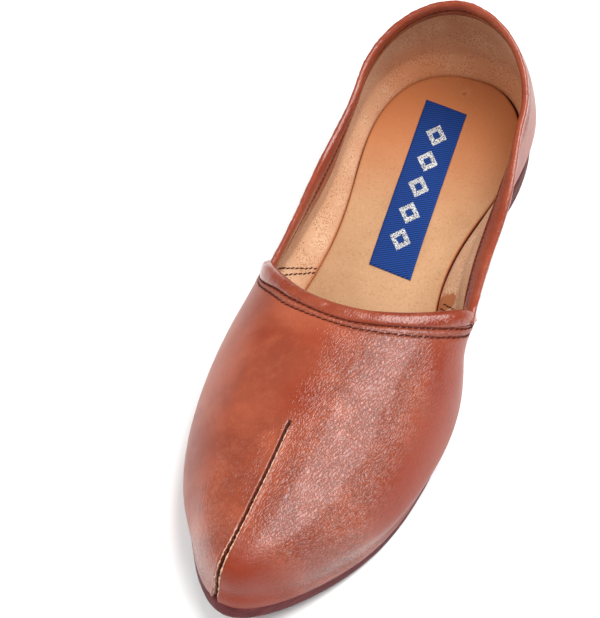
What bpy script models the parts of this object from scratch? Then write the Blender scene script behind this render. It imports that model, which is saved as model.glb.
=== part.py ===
"""Slip-on leather shoe with a pointed toe, a left shoe, empty and standing on its sole.

The toe points along -Y, the heel along +Y and the wearer's inner side along -X.
The last's surface is the upper's inner face. Every piece takes its size and place from it.
A place around the shoe is a number from 0 at the toe tip to 1 at the back of the heel,
above zero on the outer side and below zero on the inner side.
"""
from collections import namedtuple

import bpy
import numpy as np

# Driving sizes, in metres
SOLE_LENGTH = 0.279
BALL_WIDTH = 0.086
TOE_SPRING = 0.0135
SOLE_THICKNESS = 0.0045
SOLE_EDGE_ROUND = 0.0008
HEEL_HEIGHT = 0.0045
LIFT_INSET = 0.0005
INSTEP_HEIGHT = 0.047
SIDE_HEIGHT = 0.029
BACK_HEIGHT = 0.055
WIDEST_HEIGHT = 0.011
BULGE = 0.0052
VAMP_WALL = 0.0029
QUARTER_WALL = 0.0017
SOLE_MARGIN = 0.0004
INSOLE_THICKNESS = 0.002
INSOLE_CLEARANCE = 0.001
INSOLE_EDGE_ROUND = 0.0004
SEAM_WIDTH = 0.0022
SEAM_DEPTH = 0.001
ROLL_WIDTH = 0.0038
ROLL_THICKNESS = 0.0015
ROLL_LINING = 0.001
ROLL_CLEARANCE = 0.0007
COLLAR_BAND_WIDTH = 0.009
COLLAR_BAND_THICKNESS = 0.001
LABEL_LENGTH = 0.086
LABEL_WIDTH = 0.0178
LABEL_THICKNESS = 0.0008
SEAT_GAP = 0.0003
RIM_GAP = 0.0006

# Shares of the sole's length, from the toe tip
SPRING_END = 0.25
WAIST_START = 0.44
HEEL_SEAT_START = 0.70
LIFT_START = 0.72
HEEL_ROUND_START = 0.84
TOE_WALL_END = 0.12
SEAM_END = 0.235
THROAT_CENTRE = 0.424
THROAT_CORNER = 0.505
COLLAR_BACK = 0.963
LABEL_CENTRE = 0.77

# Shape of the curves
HEEL_ROUNDNESS = 2.35
COLLAR_ROUNDNESS = 1.85
THROAT_ROUNDNESS = 2.2
THROAT_SWEEP = 0.9
THROAT_ARCH = 0.68
SECTION_SIDE = 2.2
SECTION_TOP = 1.5
TOE_HEIGHT_SHARE = 0.55
VAMP_FILL = 1.9
QUARTER_FILL = 1.6
EDGE_PULL = 4
LABEL_SHIFT = -0.03
LABEL_TURN = 0.045

# Sampling
SIDE_COLUMNS = 40
HEEL_ROUND_PLACE = 0.80
CORNER_PLACE = 0.628
STEP_PLACE = 0.004
CURVE_SAMPLES = 160
WIDEST_SAMPLE = 40
LOW_ROWS = (0.0, 0.05, 0.30, 0.66)
HIGH_ROWS = 10
ROW_SPREAD = 1.6
ROLL_ROWS = 3
SEAM_FIRST_ROW = 3
LIFT_COLUMNS = 15
LABEL_STRIPS = 10

Plan = namedtuple("Plan", "along half shift bulge")
Ridge = namedtuple("Ridge", "along height")
Collar = namedtuple("Collar", "along height half shift")

# The sole seen from above: half-widths as shares of half the ball width, the centre line's shift
# as a share of the ball width, and how far the upper stands out over it as a share of BULGE
PLAN = (
    Plan(0.00, 0.000, -0.075, 0.05),
    Plan(0.03, 0.320, -0.068, 0.15),
    Plan(0.09, 0.590, -0.054, 0.40),
    Plan(0.18, 0.850, -0.034, 0.70),
    Plan(0.30, 1.000, -0.018, 0.95),
    Plan(0.42, 0.970, -0.018, 1.20),
    Plan(0.56, 0.705, -0.042, 1.70),
    Plan(0.70, 0.675, -0.020, 1.26),
    Plan(0.84, 0.790, 0.000, 0.80),
)

# The ridge of the vamp above its widest line, as shares of the instep height over that line
RIDGE = (
    Ridge(0.00, 0.00),
    Ridge(0.03, 0.36),
    Ridge(0.09, 0.51),
    Ridge(0.18, 0.69),
    Ridge(0.30, 0.86),
    Ridge(0.42, 1.00),
    Ridge(0.55, 1.15),
)

# The collar: heights above the sole as shares between the side height and the back height,
# half-widths as shares of half the ball width, and its centre's shift as a share of the ball width
COLLAR = (
    Collar(0.50, 0.22, 0.960, 0.042),
    Collar(0.60, 0.09, 0.920, 0.036),
    Collar(0.72, 0.00, 0.890, 0.028),
    Collar(0.84, 0.32, 0.800, 0.024),
    Collar(1.00, 1.00, 0.000, 0.024),
)


def spline(xs, ys, level_end=False):
    """Smooth curve through points, straight at the start and straight or level at the end."""
    xs = np.asarray(xs, float)
    ys = np.asarray(ys, float)
    count = len(xs)
    step = np.diff(xs)
    slope = np.diff(ys) / step
    rows = np.eye(count)
    known = np.zeros(count)
    for i in range(1, count - 1):
        rows[i, i - 1:i + 2] = step[i - 1], 2 * (step[i - 1] + step[i]), step[i]
        known[i] = 6 * (slope[i] - slope[i - 1])
    if level_end:
        rows[-1, -2:] = step[-1], 2 * step[-1]
        known[-1] = -6 * slope[-1]
    bend = np.linalg.solve(rows, known)

    def at(x):
        x = np.clip(x, xs[0], xs[-1])
        i = np.clip(np.searchsorted(xs, x) - 1, 0, count - 2)
        h = step[i]
        left = (xs[i + 1] - x) / h
        right = (x - xs[i]) / h
        curve = (left**3 - left) * bend[i] + (right**3 - right) * bend[i + 1]
        return left * ys[i] + right * ys[i + 1] + curve * h * h / 6

    return at


def column(table, name):
    return np.array([getattr(row, name) for row in table])


def ease(x):
    """0 below 0, 1 above 1, smooth between."""
    x = np.clip(x, 0, 1)
    return x * x * (3 - 2 * x)


ALONG = column(PLAN, "along")
sole_half = spline(np.sqrt(ALONG), column(PLAN, "half") * BALL_WIDTH / 2, level_end=True)
sole_shift = spline(ALONG, column(PLAN, "shift") * BALL_WIDTH, level_end=True)
upper_bulge = spline(ALONG, column(PLAN, "bulge") * BULGE, level_end=True)
ridge_share = spline(np.sqrt(column(RIDGE, "along")), column(RIDGE, "height"))
collar_rise = spline(column(COLLAR, "along"), column(COLLAR, "height"))
COLLAR_SIDES = COLLAR[:-1]
side_along = column(COLLAR_SIDES, "along")
collar_half = spline(side_along, column(COLLAR_SIDES, "half") * BALL_WIDTH / 2, level_end=True)
collar_shift = spline(column(COLLAR, "along"), column(COLLAR, "shift") * BALL_WIDTH)


def share(y):
    """Share of the sole's length at a place on the Y axis."""
    return np.clip(y / SOLE_LENGTH + 0.5, 0, 1)


def heel_rise(t):
    """Height of the heel seat's underside, none at the forefoot."""
    return HEEL_HEIGHT * ease((t - WAIST_START) / (HEEL_SEAT_START - WAIST_START))


def under_height(y):
    """Height of the outsole's underside."""
    t = share(y)
    return TOE_SPRING * np.clip(1 - t / SPRING_END, 0, 1) ** 2 + heel_rise(t)


def sole_slope(y):
    t = share(y)
    return -2 * TOE_SPRING / (SPRING_END * SOLE_LENGTH) * np.clip(1 - t / SPRING_END, 0, 1)


def raised(points, height):
    """Points on the outsole's underside, lifted square to it by a height."""
    x, y = points[..., 0], points[..., 1]
    return np.stack([x, y - sole_slope(y) * height, under_height(y) + height], -1)


def wrapped(place):
    """The same place as a number from -1 to 1."""
    return (np.asarray(place, float) + 1) % 2 - 1


def sole_edge(place):
    """Plan of the outsole's edge: a curve along each side and a round heel."""
    place = wrapped(place)
    a = np.abs(place)
    side = np.sign(place)
    t = HEEL_ROUND_START * np.clip(a / HEEL_ROUND_PLACE, 0, 1) ** 2
    turn = np.clip((a - HEEL_ROUND_PLACE) / (1 - HEEL_ROUND_PLACE), 0, 1) * np.pi / 2
    power = 2 / HEEL_ROUNDNESS
    heel = (1 - HEEL_ROUND_START) * SOLE_LENGTH * np.sin(turn) ** power
    half = sole_half(np.sqrt(t)) * np.maximum(np.cos(turn), 0) ** power
    return np.stack([sole_shift(t) + side * half, (t - 0.5) * SOLE_LENGTH + heel], -1)


def moved_edge(place, outward):
    """The outsole's edge in plan, moved outward square to itself."""
    along = sole_edge(place + 0.0001) - sole_edge(place - 0.0001)
    along /= np.linalg.norm(along, axis=-1, keepdims=True)
    normal = np.stack([along[..., 1], -along[..., 0]], -1)
    return sole_edge(place) + normal * np.expand_dims(outward, -1)


def feather(place, rise):
    """The last from the sole, where rise is 0, to its widest line, where rise is 1."""
    t = share(sole_edge(place)[..., 1])
    out = upper_bulge(t) * ease(rise) - SOLE_MARGIN - VAMP_WALL
    height = WIDEST_HEIGHT * (TOE_HEIGHT_SHARE + (1 - TOE_HEIGHT_SHARE) * ease(t / TOE_WALL_END))
    base = SOLE_THICKNESS + RIM_GAP
    return raised(moved_edge(place, out), base + height * rise)


WIDEST_PLACES = np.linspace(-1, 1, 801)
WIDEST_LINE = feather(WIDEST_PLACES, 1.0)
INNER_LINE = WIDEST_LINE[400::-1]
OUTER_LINE = WIDEST_LINE[400:]
TIP_Y = OUTER_LINE[0, 1]


def vamp_height(x, y):
    """Height of the last's surface over the forefoot."""
    inner, outer = (np.interp(y, line[:, 1], line[:, 0]) for line in (INNER_LINE, OUTER_LINE))
    across = np.clip(np.abs(2 * x - inner - outer) / np.maximum(outer - inner, 1e-6), 0, 1)
    widest = np.interp(y, OUTER_LINE[:, 1], OUTER_LINE[:, 2])
    past_tip = np.clip((y - TIP_Y) / SOLE_LENGTH, 0, 1)
    ridge = (INSTEP_HEIGHT - WIDEST_HEIGHT) * ridge_share(np.sqrt(past_tip))
    return widest + ridge * (1 - across**SECTION_SIDE) ** (1 / SECTION_TOP)


def collar_height(t):
    """Height of the upper's top edge along the collar."""
    return SOLE_THICKNESS + heel_rise(t) + SIDE_HEIGHT + (BACK_HEIGHT - SIDE_HEIGHT) * collar_rise(t)


def collar_edge(place):
    """Top edge of the quarters, from the corners of the throat to the back of the heel."""
    a = np.abs(place)
    side = np.sign(place)
    straight = np.clip((a - CORNER_PLACE) / (HEEL_ROUND_PLACE - CORNER_PLACE), 0, 1)
    t = THROAT_CORNER + (HEEL_ROUND_START - THROAT_CORNER) * straight
    turn = np.clip((a - HEEL_ROUND_PLACE) / (1 - HEEL_ROUND_PLACE), 0, 1) * np.pi / 2
    power = 2 / COLLAR_ROUNDNESS
    reach = np.sin(turn) ** power
    half = (collar_half(t) - QUARTER_WALL) * np.maximum(np.cos(turn), 0) ** power
    y = (t - 0.5) * SOLE_LENGTH + ((COLLAR_BACK - HEEL_ROUND_START) * SOLE_LENGTH - QUARTER_WALL) * reach
    z = collar_height(t + (1 - HEEL_ROUND_START) * reach)
    return np.stack([collar_shift(t) + side * half, y, z], -1)


def throat_edge(place):
    """Top edge of the vamp, across the instep from one corner to the other."""
    across = np.clip(place / CORNER_PLACE, -1, 1)
    a = np.abs(across)[..., None]
    corner = collar_edge(np.where(place < 0, -CORNER_PLACE, CORNER_PLACE))
    centre_y = (THROAT_CENTRE - 0.5) * SOLE_LENGTH
    centre_x = sole_shift(THROAT_CENTRE)
    centre = np.array([centre_x, centre_y, vamp_height(centre_x, centre_y)])
    x = centre[0] + (corner[..., 0:1] - centre[0]) * a
    inward = 1 - a**THROAT_ROUNDNESS
    y = corner[..., 1:2] + (centre[1] - corner[..., 1:2]) * inward**THROAT_SWEEP
    z = corner[..., 2:3] + (centre[2] - corner[..., 2:3]) * inward**THROAT_ARCH
    return np.concatenate([x, y, z], -1)


def top_edge(place):
    on_vamp = (np.abs(place) < CORNER_PLACE)[..., None]
    return np.where(on_vamp, throat_edge(place), collar_edge(place))


def last_column(place):
    """The last's surface at each place, as a fine line of points from the sole to the top edge."""
    place = wrapped(place)[:, None]
    rise = np.linspace(0, 1, WIDEST_SAMPLE)[None, :]
    low = feather(place + 0 * rise, rise + 0 * place)
    climb = np.linspace(0, 1, CURVE_SAMPLES)[None, :, None]
    base = low[:, -1:, :]
    top = top_edge(place)
    flat = base + (top - base) * climb**VAMP_FILL
    height = vamp_height(flat[..., 0], flat[..., 1])
    miss = top[..., 2] - height[:, -1:]
    vamp = np.stack([flat[..., 0], flat[..., 1], height + miss * climb[..., 0] ** EDGE_PULL], -1)
    quarter = np.concatenate([(base + (top - base) * climb**QUARTER_FILL)[..., :2],
                              (base + (top - base) * climb)[..., 2:]], -1)
    mix = ease((np.abs(place) / CORNER_PLACE - 0.5) / 0.5)[..., None]
    high = vamp * (1 - mix) + quarter * mix
    return np.concatenate([low, high[:, 1:]], 1)


def travelled(line):
    return np.concatenate([[0], np.cumsum(np.linalg.norm(np.diff(line, axis=0), axis=1))])


def last_points(place, depths):
    """Points on the last at the given depths below the top edge, one row for each place."""
    points = []
    for line in last_column(place):
        run = travelled(line)
        points.append([[np.interp(run[-1] - d, run, line[:, k]) for k in range(3)] for d in depths])
    return np.array(points)


def last_normals(place, depths):
    """Outward directions at the same points."""
    tiny = 0.002
    around = last_points(place + tiny, depths) - last_points(place - tiny, depths)
    deeper = np.asarray(depths) + 0.0004
    down = last_points(place, deeper) - last_points(place, depths)
    normal = np.cross(down, around)
    return normal / np.linalg.norm(normal, axis=-1, keepdims=True)


def material(name, colour, roughness):
    made = bpy.data.materials.new(name)
    made.use_nodes = True
    shader = made.node_tree.nodes["Principled BSDF"]
    shader.inputs["Base Color"].default_value = (*colour, 1)
    shader.inputs["Roughness"].default_value = roughness
    shader.inputs["Metallic"].default_value = 0.0
    made.diffuse_color = (*colour, 1)
    return made


def add_object(name, points, faces, colour, roughness, sharp_angle=0.7):
    mesh = bpy.data.meshes.new(name)
    mesh.from_pydata([tuple(p) for p in points], [], faces)
    mesh.materials.append(material(name + "_finish", colour, roughness))
    mesh.shade_smooth()
    mesh.set_sharp_from_angle(angle=sharp_angle)
    made = bpy.data.objects.new(name, mesh)
    SHOE.objects.link(made)
    made.parent = STAND
    return made


def cap(first, count, from_tip):
    """Faces that close a ring of points, as a ladder between its two sides."""
    faces = []
    low, high = 0, count - 1
    if from_tip:
        faces.append((first, first + 1, first + high))
        low = 1
    while high - low > 2:
        faces.append((first + low, first + low + 1, first + high - 1, first + high))
        low, high = low + 1, high - 1
    if high - low == 2:
        faces.append((first + low, first + low + 1, first + high))
    return faces


def stacked(name, rings, from_tip, colour, roughness):
    """A solid from a stack of rings, lowest first, each running the same way round."""
    count = len(rings[0])
    points = np.concatenate(rings)
    faces = [tuple(reversed(face)) for face in cap(0, count, from_tip)]
    for ring in range(len(rings) - 1):
        base = ring * count
        for i in range(count):
            j = (i + 1) % count
            faces.append((base + i, base + j, base + count + j, base + count + i))
    faces += cap((len(rings) - 1) * count, count, from_tip)
    return add_object(name, points, faces, colour, roughness)


def all_round():
    """Places around the whole shoe, from the toe tip by the outer side and the heel and back."""
    side = np.linspace(0, 1, SIDE_COLUMNS + 1)
    return np.concatenate([side, -side[-2:0:-1]])


def make_outsole():
    places = all_round()
    edge = SOLE_EDGE_ROUND
    profile = ((-edge, 0), (-0.3 * edge, 0.1), (0, 0.3), (0, 0.75), (-0.25 * edge, 0.93), (-edge, 1))
    rings = [raised(moved_edge(places, out + 0 * places), SOLE_THICKNESS * up) for out, up in profile]
    return stacked("outsole", rings, True, (0.085, 0.030, 0.028), 0.55)


def make_heel_lift():
    start = HEEL_ROUND_PLACE * (LIFT_START / HEEL_ROUND_START) ** 0.5
    side = np.linspace(start, 1, LIFT_COLUMNS)
    places = np.concatenate([side, -side[-2::-1]])
    height = HEEL_HEIGHT - SEAT_GAP
    rings = []
    for out, up in ((-SOLE_EDGE_ROUND, 0.0), (0.0, 0.25), (0.0, 1.0)):
        plan = moved_edge(places, out - LIFT_INSET + 0 * places)
        rings.append(np.column_stack([plan, np.full(len(plan), height * up)]))
    return stacked("heel_lift", rings, False, (0.060, 0.022, 0.022), 0.6)


def make_insole():
    places = all_round()
    base = SOLE_THICKNESS + SEAT_GAP
    inset = SOLE_MARGIN + VAMP_WALL + INSOLE_CLEARANCE
    rings = []
    for out, up in ((0.0, 0.0), (0.0, 0.75), (-INSOLE_EDGE_ROUND, 1.0)):
        rings.append(raised(moved_edge(places, out - inset + 0 * places), base + INSOLE_THICKNESS * up))
    return stacked("insole", rings, True, (0.52, 0.32, 0.16), 0.7)


def upper_places():
    """Places of one side's columns: even, with extra ones at the toe seam and the vamp's rear edge."""
    side = np.linspace(0, 1, SIDE_COLUMNS + 1)
    seam = CORNER_PLACE * SEAM_WIDTH / collar_half(THROAT_CORNER) / 2
    special = [seam] + [CORNER_PLACE + k * STEP_PLACE for k in (-8, -5, -3, -1, 0, 1)]
    clear = [a for a in side if a in (0, 1) or min(abs(a - s) for s in special) > 1.5 * STEP_PLACE]
    return np.array(sorted([*clear, *special]))


def upper_rows(run):
    """Distances along a column of the upper, from the sole to the top edge."""
    widest, top = run[WIDEST_SAMPLE - 1], run[-1]
    band = top - ROLL_WIDTH - 4 * SEAT_GAP
    low = [widest * s for s in LOW_ROWS]
    high = [widest + (band - widest) * s**ROW_SPREAD for s in np.linspace(0, 1, HIGH_ROWS)]
    return np.array([*low, *high, top - ROLL_WIDTH - 2 * SEAT_GAP, top - ROLL_WIDTH / 2, top])


def make_upper():
    side = upper_places()
    places = np.concatenate([side, -side[-2:0:-1]])
    seam = side[1]
    points, walls = [], []
    for place, line in zip(places, last_column(places)):
        run = travelled(line)
        rows = upper_rows(run)
        for number, distance in enumerate(rows):
            point = [np.interp(distance, run, line[:, k]) for k in range(3)]
            points.append(point)
            thick = abs(place) <= CORNER_PLACE and number < len(rows) - ROLL_ROWS
            wall = VAMP_WALL if thick else QUARTER_WALL
            on_seam = abs(place) < seam / 2 and share(point[1]) < SEAM_END and number >= SEAM_FIRST_ROW
            walls.append(wall - SEAM_DEPTH if on_seam else wall)
    count = len(rows)
    faces = []
    for i in range(len(places)):
        here = i * count
        there = (i + 1) % len(places) * count
        for j in range(count - 1):
            faces.append((here + j, there + j, there + j + 1, here + j + 1))
    upper = add_object("upper", points, faces, (0.40, 0.110, 0.048), 0.35)
    group = upper.vertex_groups.new(name="wall")
    for number, wall in enumerate(walls):
        group.add([number], wall / VAMP_WALL, "REPLACE")
    solid = upper.modifiers.new("wall", "SOLIDIFY")
    solid.thickness = VAMP_WALL
    solid.offset = 1
    solid.vertex_group = group.name
    solid.use_even_offset = False
    return upper


def swept(name, places, profile, colour, roughness):
    """A strip along the top edge, from a profile of depths below it and distances outside the last."""
    depths = [max(depth, 0) for depth, out in profile]
    above = np.array([max(-depth, 0) for depth, out in profile])
    outs = np.array([out for depth, out in profile])
    on_last = last_points(places, depths)
    normals = last_normals(places, depths)
    edge = last_points(places + 0.001, [0])[:, 0] - last_points(places - 0.001, [0])[:, 0]
    up = np.cross(last_normals(places, [0])[:, 0], edge)
    up /= np.linalg.norm(up, axis=-1, keepdims=True)
    points = on_last + normals * outs[None, :, None] + up[:, None, :] * above[None, :, None]
    count = len(profile)
    faces = []
    for i in range(len(places) - 1):
        for j in range(count):
            k = (j + 1) % count
            faces.append((i * count + j, (i + 1) * count + j, (i + 1) * count + k, i * count + k))
    faces.append(tuple(range(count)))
    faces.append(tuple((len(places) - 1) * count + j for j in reversed(range(count))))
    return add_object(name, points.reshape(-1, 3), faces, colour, roughness, 0.9)


def make_throat_binding():
    side = upper_places()
    side = side[side < CORNER_PLACE - STEP_PLACE / 2]
    places = np.concatenate([-side[:0:-1], side])
    gap, roll, lining, width = SEAT_GAP, ROLL_THICKNESS, ROLL_LINING, ROLL_WIDTH
    face = QUARTER_WALL + ROLL_CLEARANCE
    profile = (
        (width, face),
        (width * 0.5, face),
        (-2 * gap, face),
        (-gap, -gap),
        (width * 0.5, -gap),
        (width, -gap),
        (width, -gap - lining),
        (width * 0.5, -gap - lining),
        (0.0, -gap - lining),
        (-gap - lining * 0.9, -gap - lining * 0.5),
        (-gap - lining * 1.3, face * 0.4),
        (-gap - lining * 0.9, face + roll * 0.5),
        (width * 0.1, face + roll * 0.95),
        (width * 0.5, face + roll),
        (width * 0.85, face + roll * 0.7),
        (width, face + roll * 0.3),
    )
    return swept("throat_binding", places, profile[::-1], (0.42, 0.120, 0.055), 0.25)


def make_collar_binding():
    side = upper_places()
    side = side[side > CORNER_PLACE + STEP_PLACE / 2]
    places = np.concatenate([side, 2 - side[-2::-1]])
    wall, gap, band = QUARTER_WALL, SEAT_GAP, COLLAR_BAND_THICKNESS
    profile = (
        (COLLAR_BAND_WIDTH, -gap),
        (ROLL_WIDTH + 2 * gap, -gap),
        (ROLL_WIDTH / 2, -gap),
        (-gap, -gap),
        (-gap, wall),
        (-gap - band * 0.7, wall * 0.9),
        (-gap - band * 1.1, wall * 0.45),
        (-gap - band, -gap * 0.5),
        (-gap - band * 0.6, -gap - band * 0.7),
        (0.0, -gap - band),
        (COLLAR_BAND_WIDTH, -gap - band),
    )
    return swept("collar_binding", places, profile, (0.40, 0.110, 0.050), 0.3)


def make_label():
    """A cloth label glued along the middle of the insole's heel half."""
    centre_x = LABEL_SHIFT * BALL_WIDTH
    centre_y = (LABEL_CENTRE - 0.5) * SOLE_LENGTH
    height = SOLE_THICKNESS + 2 * SEAT_GAP + INSOLE_THICKNESS
    points = []
    for run in np.linspace(-0.5, 0.5, LABEL_STRIPS + 1) * LABEL_LENGTH:
        for across in (-LABEL_WIDTH / 2, LABEL_WIDTH / 2):
            x = centre_x + across * np.cos(LABEL_TURN) - run * np.sin(LABEL_TURN)
            y = centre_y + across * np.sin(LABEL_TURN) + run * np.cos(LABEL_TURN)
            points.append((x, y, under_height(y) + height))
    faces = [(2 * i, 2 * i + 1, 2 * i + 3, 2 * i + 2) for i in range(LABEL_STRIPS)]
    label = add_object("insole_label", points, faces, (0.010, 0.055, 0.270), 0.8)
    solid = label.modifiers.new("cloth", "SOLIDIFY")
    solid.thickness = LABEL_THICKNESS
    solid.offset = 1
    return label


def centre_on_floor():
    """Moves the whole shoe so that its box is centred over the origin."""
    bpy.context.view_layer.update()
    graph = bpy.context.evaluated_depsgraph_get()
    pieces = [piece.evaluated_get(graph).data for piece in SHOE.objects if piece.type == "MESH"]
    corners = np.array([tuple(vertex.co) for piece in pieces for vertex in piece.vertices])
    middle = (corners.min(0) + corners.max(0)) / 2
    STAND.location = (-middle[0], -middle[1], 0)


for old in list(bpy.data.objects):
    bpy.data.objects.remove(old)
SHOE = bpy.data.collections.new("leather_slip_on")
bpy.context.scene.collection.children.link(SHOE)
STAND = bpy.data.objects.new("stand", None)
SHOE.objects.link(STAND)
make_outsole()
make_heel_lift()
make_insole()
make_upper()
make_throat_binding()
make_collar_binding()
make_label()
centre_on_floor()
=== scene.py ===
"""A left leather slip-on shoe with a pointed toe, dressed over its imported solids.

The toe points along -Y, the heel along +Y and the wearer's inner side along -X.
A place around the shoe is a number from 0 at the toe tip to 1 at the back of the heel,
above zero on the outer side and below zero on the inner side. Sizes are in metres.
"""
from collections import namedtuple

import bpy
import numpy as np
from mathutils import Matrix, Vector


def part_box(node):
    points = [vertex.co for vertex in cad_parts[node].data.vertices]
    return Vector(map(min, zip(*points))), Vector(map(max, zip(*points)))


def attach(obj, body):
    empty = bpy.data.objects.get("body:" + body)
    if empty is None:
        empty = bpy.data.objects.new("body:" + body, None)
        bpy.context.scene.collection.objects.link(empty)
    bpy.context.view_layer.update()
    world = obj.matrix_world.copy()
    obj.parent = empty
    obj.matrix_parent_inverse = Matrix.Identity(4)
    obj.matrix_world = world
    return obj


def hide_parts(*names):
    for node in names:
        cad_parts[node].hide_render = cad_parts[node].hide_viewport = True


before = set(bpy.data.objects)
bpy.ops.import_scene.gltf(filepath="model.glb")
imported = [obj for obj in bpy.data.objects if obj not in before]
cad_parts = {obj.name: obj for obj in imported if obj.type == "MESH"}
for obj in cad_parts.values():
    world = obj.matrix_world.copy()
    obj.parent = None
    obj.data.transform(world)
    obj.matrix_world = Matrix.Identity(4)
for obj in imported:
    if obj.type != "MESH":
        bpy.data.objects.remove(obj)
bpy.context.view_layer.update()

MM = 0.001
UP = np.array([0, 0, 1.0])

# Sizes shared with the solids
SOLE_LENGTH = 0.279
BALL_WIDTH = 0.086
TOE_SPRING = 0.0135
SOLE_THICKNESS = 0.0045
SOLE_EDGE_ROUND = 0.0008
HEEL_HEIGHT = 0.0045
LIFT_INSET = 0.0005
INSTEP_HEIGHT = 0.047
SIDE_HEIGHT = 0.029
BACK_HEIGHT = 0.055
WIDEST_HEIGHT = 0.011
BULGE = 0.0052
VAMP_WALL = 0.0029
QUARTER_WALL = 0.0017
SOLE_MARGIN = 0.0004
INSOLE_THICKNESS = 0.002
INSOLE_GAP = 0.0005
BAND_WIDTH = 0.0105
LABEL_LENGTH = 0.086
LABEL_WIDTH = 0.0178
SEAT_GAP = 0.0003
RIM_GAP = 0.0006

SPRING_END = 0.25
WAIST_START = 0.44
HEEL_SEAT_START = 0.70
LIFT_START = 0.72
HEEL_ROUND_START = 0.84
TOE_WALL_END = 0.12
SEAM_END = 0.250
THROAT_CENTRE = 0.424
THROAT_CORNER = 0.505
COLLAR_BACK = 0.963
LABEL_CENTRE = 0.77

HEEL_ROUNDNESS = 2.35
COLLAR_ROUNDNESS = 1.85
THROAT_ROUNDNESS = 2.2
THROAT_SWEEP = 0.9
THROAT_ARCH = 0.68
SECTION_SIDE = 2.2
SECTION_TOP = 1.5
TOE_HEIGHT_SHARE = 0.55
VAMP_FILL = 1.9
QUARTER_FILL = 1.6
EDGE_PULL = 4
LABEL_SHIFT = -0.03
LABEL_TURN = 0.045
HEEL_ROUND_PLACE = 0.80
CORNER_PLACE = 0.628
# The tables' middle line lies to the inner side by this share of half the ball's width.
TOE_LEAN = 0.06

Plan = namedtuple("Plan", "along half shift bulge")
Ridge = namedtuple("Ridge", "along height")
Collar = namedtuple("Collar", "along height half shift")
Row = namedtuple("Row", "place first second lift")
Seam = namedtuple("Seam", "along side")
Spot = namedtuple("Spot", "along across length width strength")
Stitch = namedtuple("Stitch", "spacing length thick rise slant")

PLAN = (
    Plan(0.00, 0.000, -0.075, 0.05),
    Plan(0.03, 0.320, -0.068, 0.15),
    Plan(0.09, 0.590, -0.054, 0.40),
    Plan(0.18, 0.850, -0.034, 0.70),
    Plan(0.30, 1.000, -0.018, 0.95),
    Plan(0.42, 0.970, -0.018, 1.20),
    Plan(0.56, 0.705, -0.042, 1.70),
    Plan(0.70, 0.675, -0.020, 1.26),
    Plan(0.84, 0.790, 0.000, 0.80),
)
RIDGE = (
    Ridge(0.00, 0.00),
    Ridge(0.03, 0.36),
    Ridge(0.09, 0.51),
    Ridge(0.18, 0.69),
    Ridge(0.30, 0.86),
    Ridge(0.42, 1.00),
    Ridge(0.55, 1.15),
)
COLLAR = (
    Collar(0.50, 0.22, 0.960, 0.042),
    Collar(0.60, 0.09, 0.920, 0.036),
    Collar(0.72, 0.00, 0.890, 0.028),
    Collar(0.84, 0.32, 0.800, 0.024),
    Collar(1.00, 1.00, 0.000, 0.024),
)

# The two stitch rows beside the rolled edge and how far the roll is set back over the rim, in
# millimetres down from the rim, at places around the throat.
ROWS = (
    Row(-0.628, 7.2, 8.6, -0.6),
    Row(-0.560, 5.8, 7.6, -0.3),
    Row(-0.450, 3.6, 6.2, 0.6),
    Row(-0.355, 3.3, 6.0, 0.9),
    Row(-0.265, 2.9, 5.6, 1.2),
    Row(-0.100, 3.1, 5.3, 1.3),
    Row(0.125, 4.2, 6.6, 0.5),
    Row(0.290, 4.4, 7.4, 0.2),
    Row(0.400, 4.7, 8.0, 0.0),
    Row(0.510, 5.2, 8.5, -0.2),
    Row(0.628, 5.6, 8.8, -0.3),
)

# The toe seam's line: shares of the sole's length and millimetres beside the middle of the toe.
SEAM = (
    Seam(0.000, -6.2),
    Seam(0.016, -5.9),
    Seam(0.023, -5.3),
    Seam(0.039, -4.1),
    Seam(0.065, -2.9),
    Seam(0.103, -1.9),
    Seam(0.147, -1.4),
    Seam(0.192, -1.0),
    Seam(0.250, -0.5),
)

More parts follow.
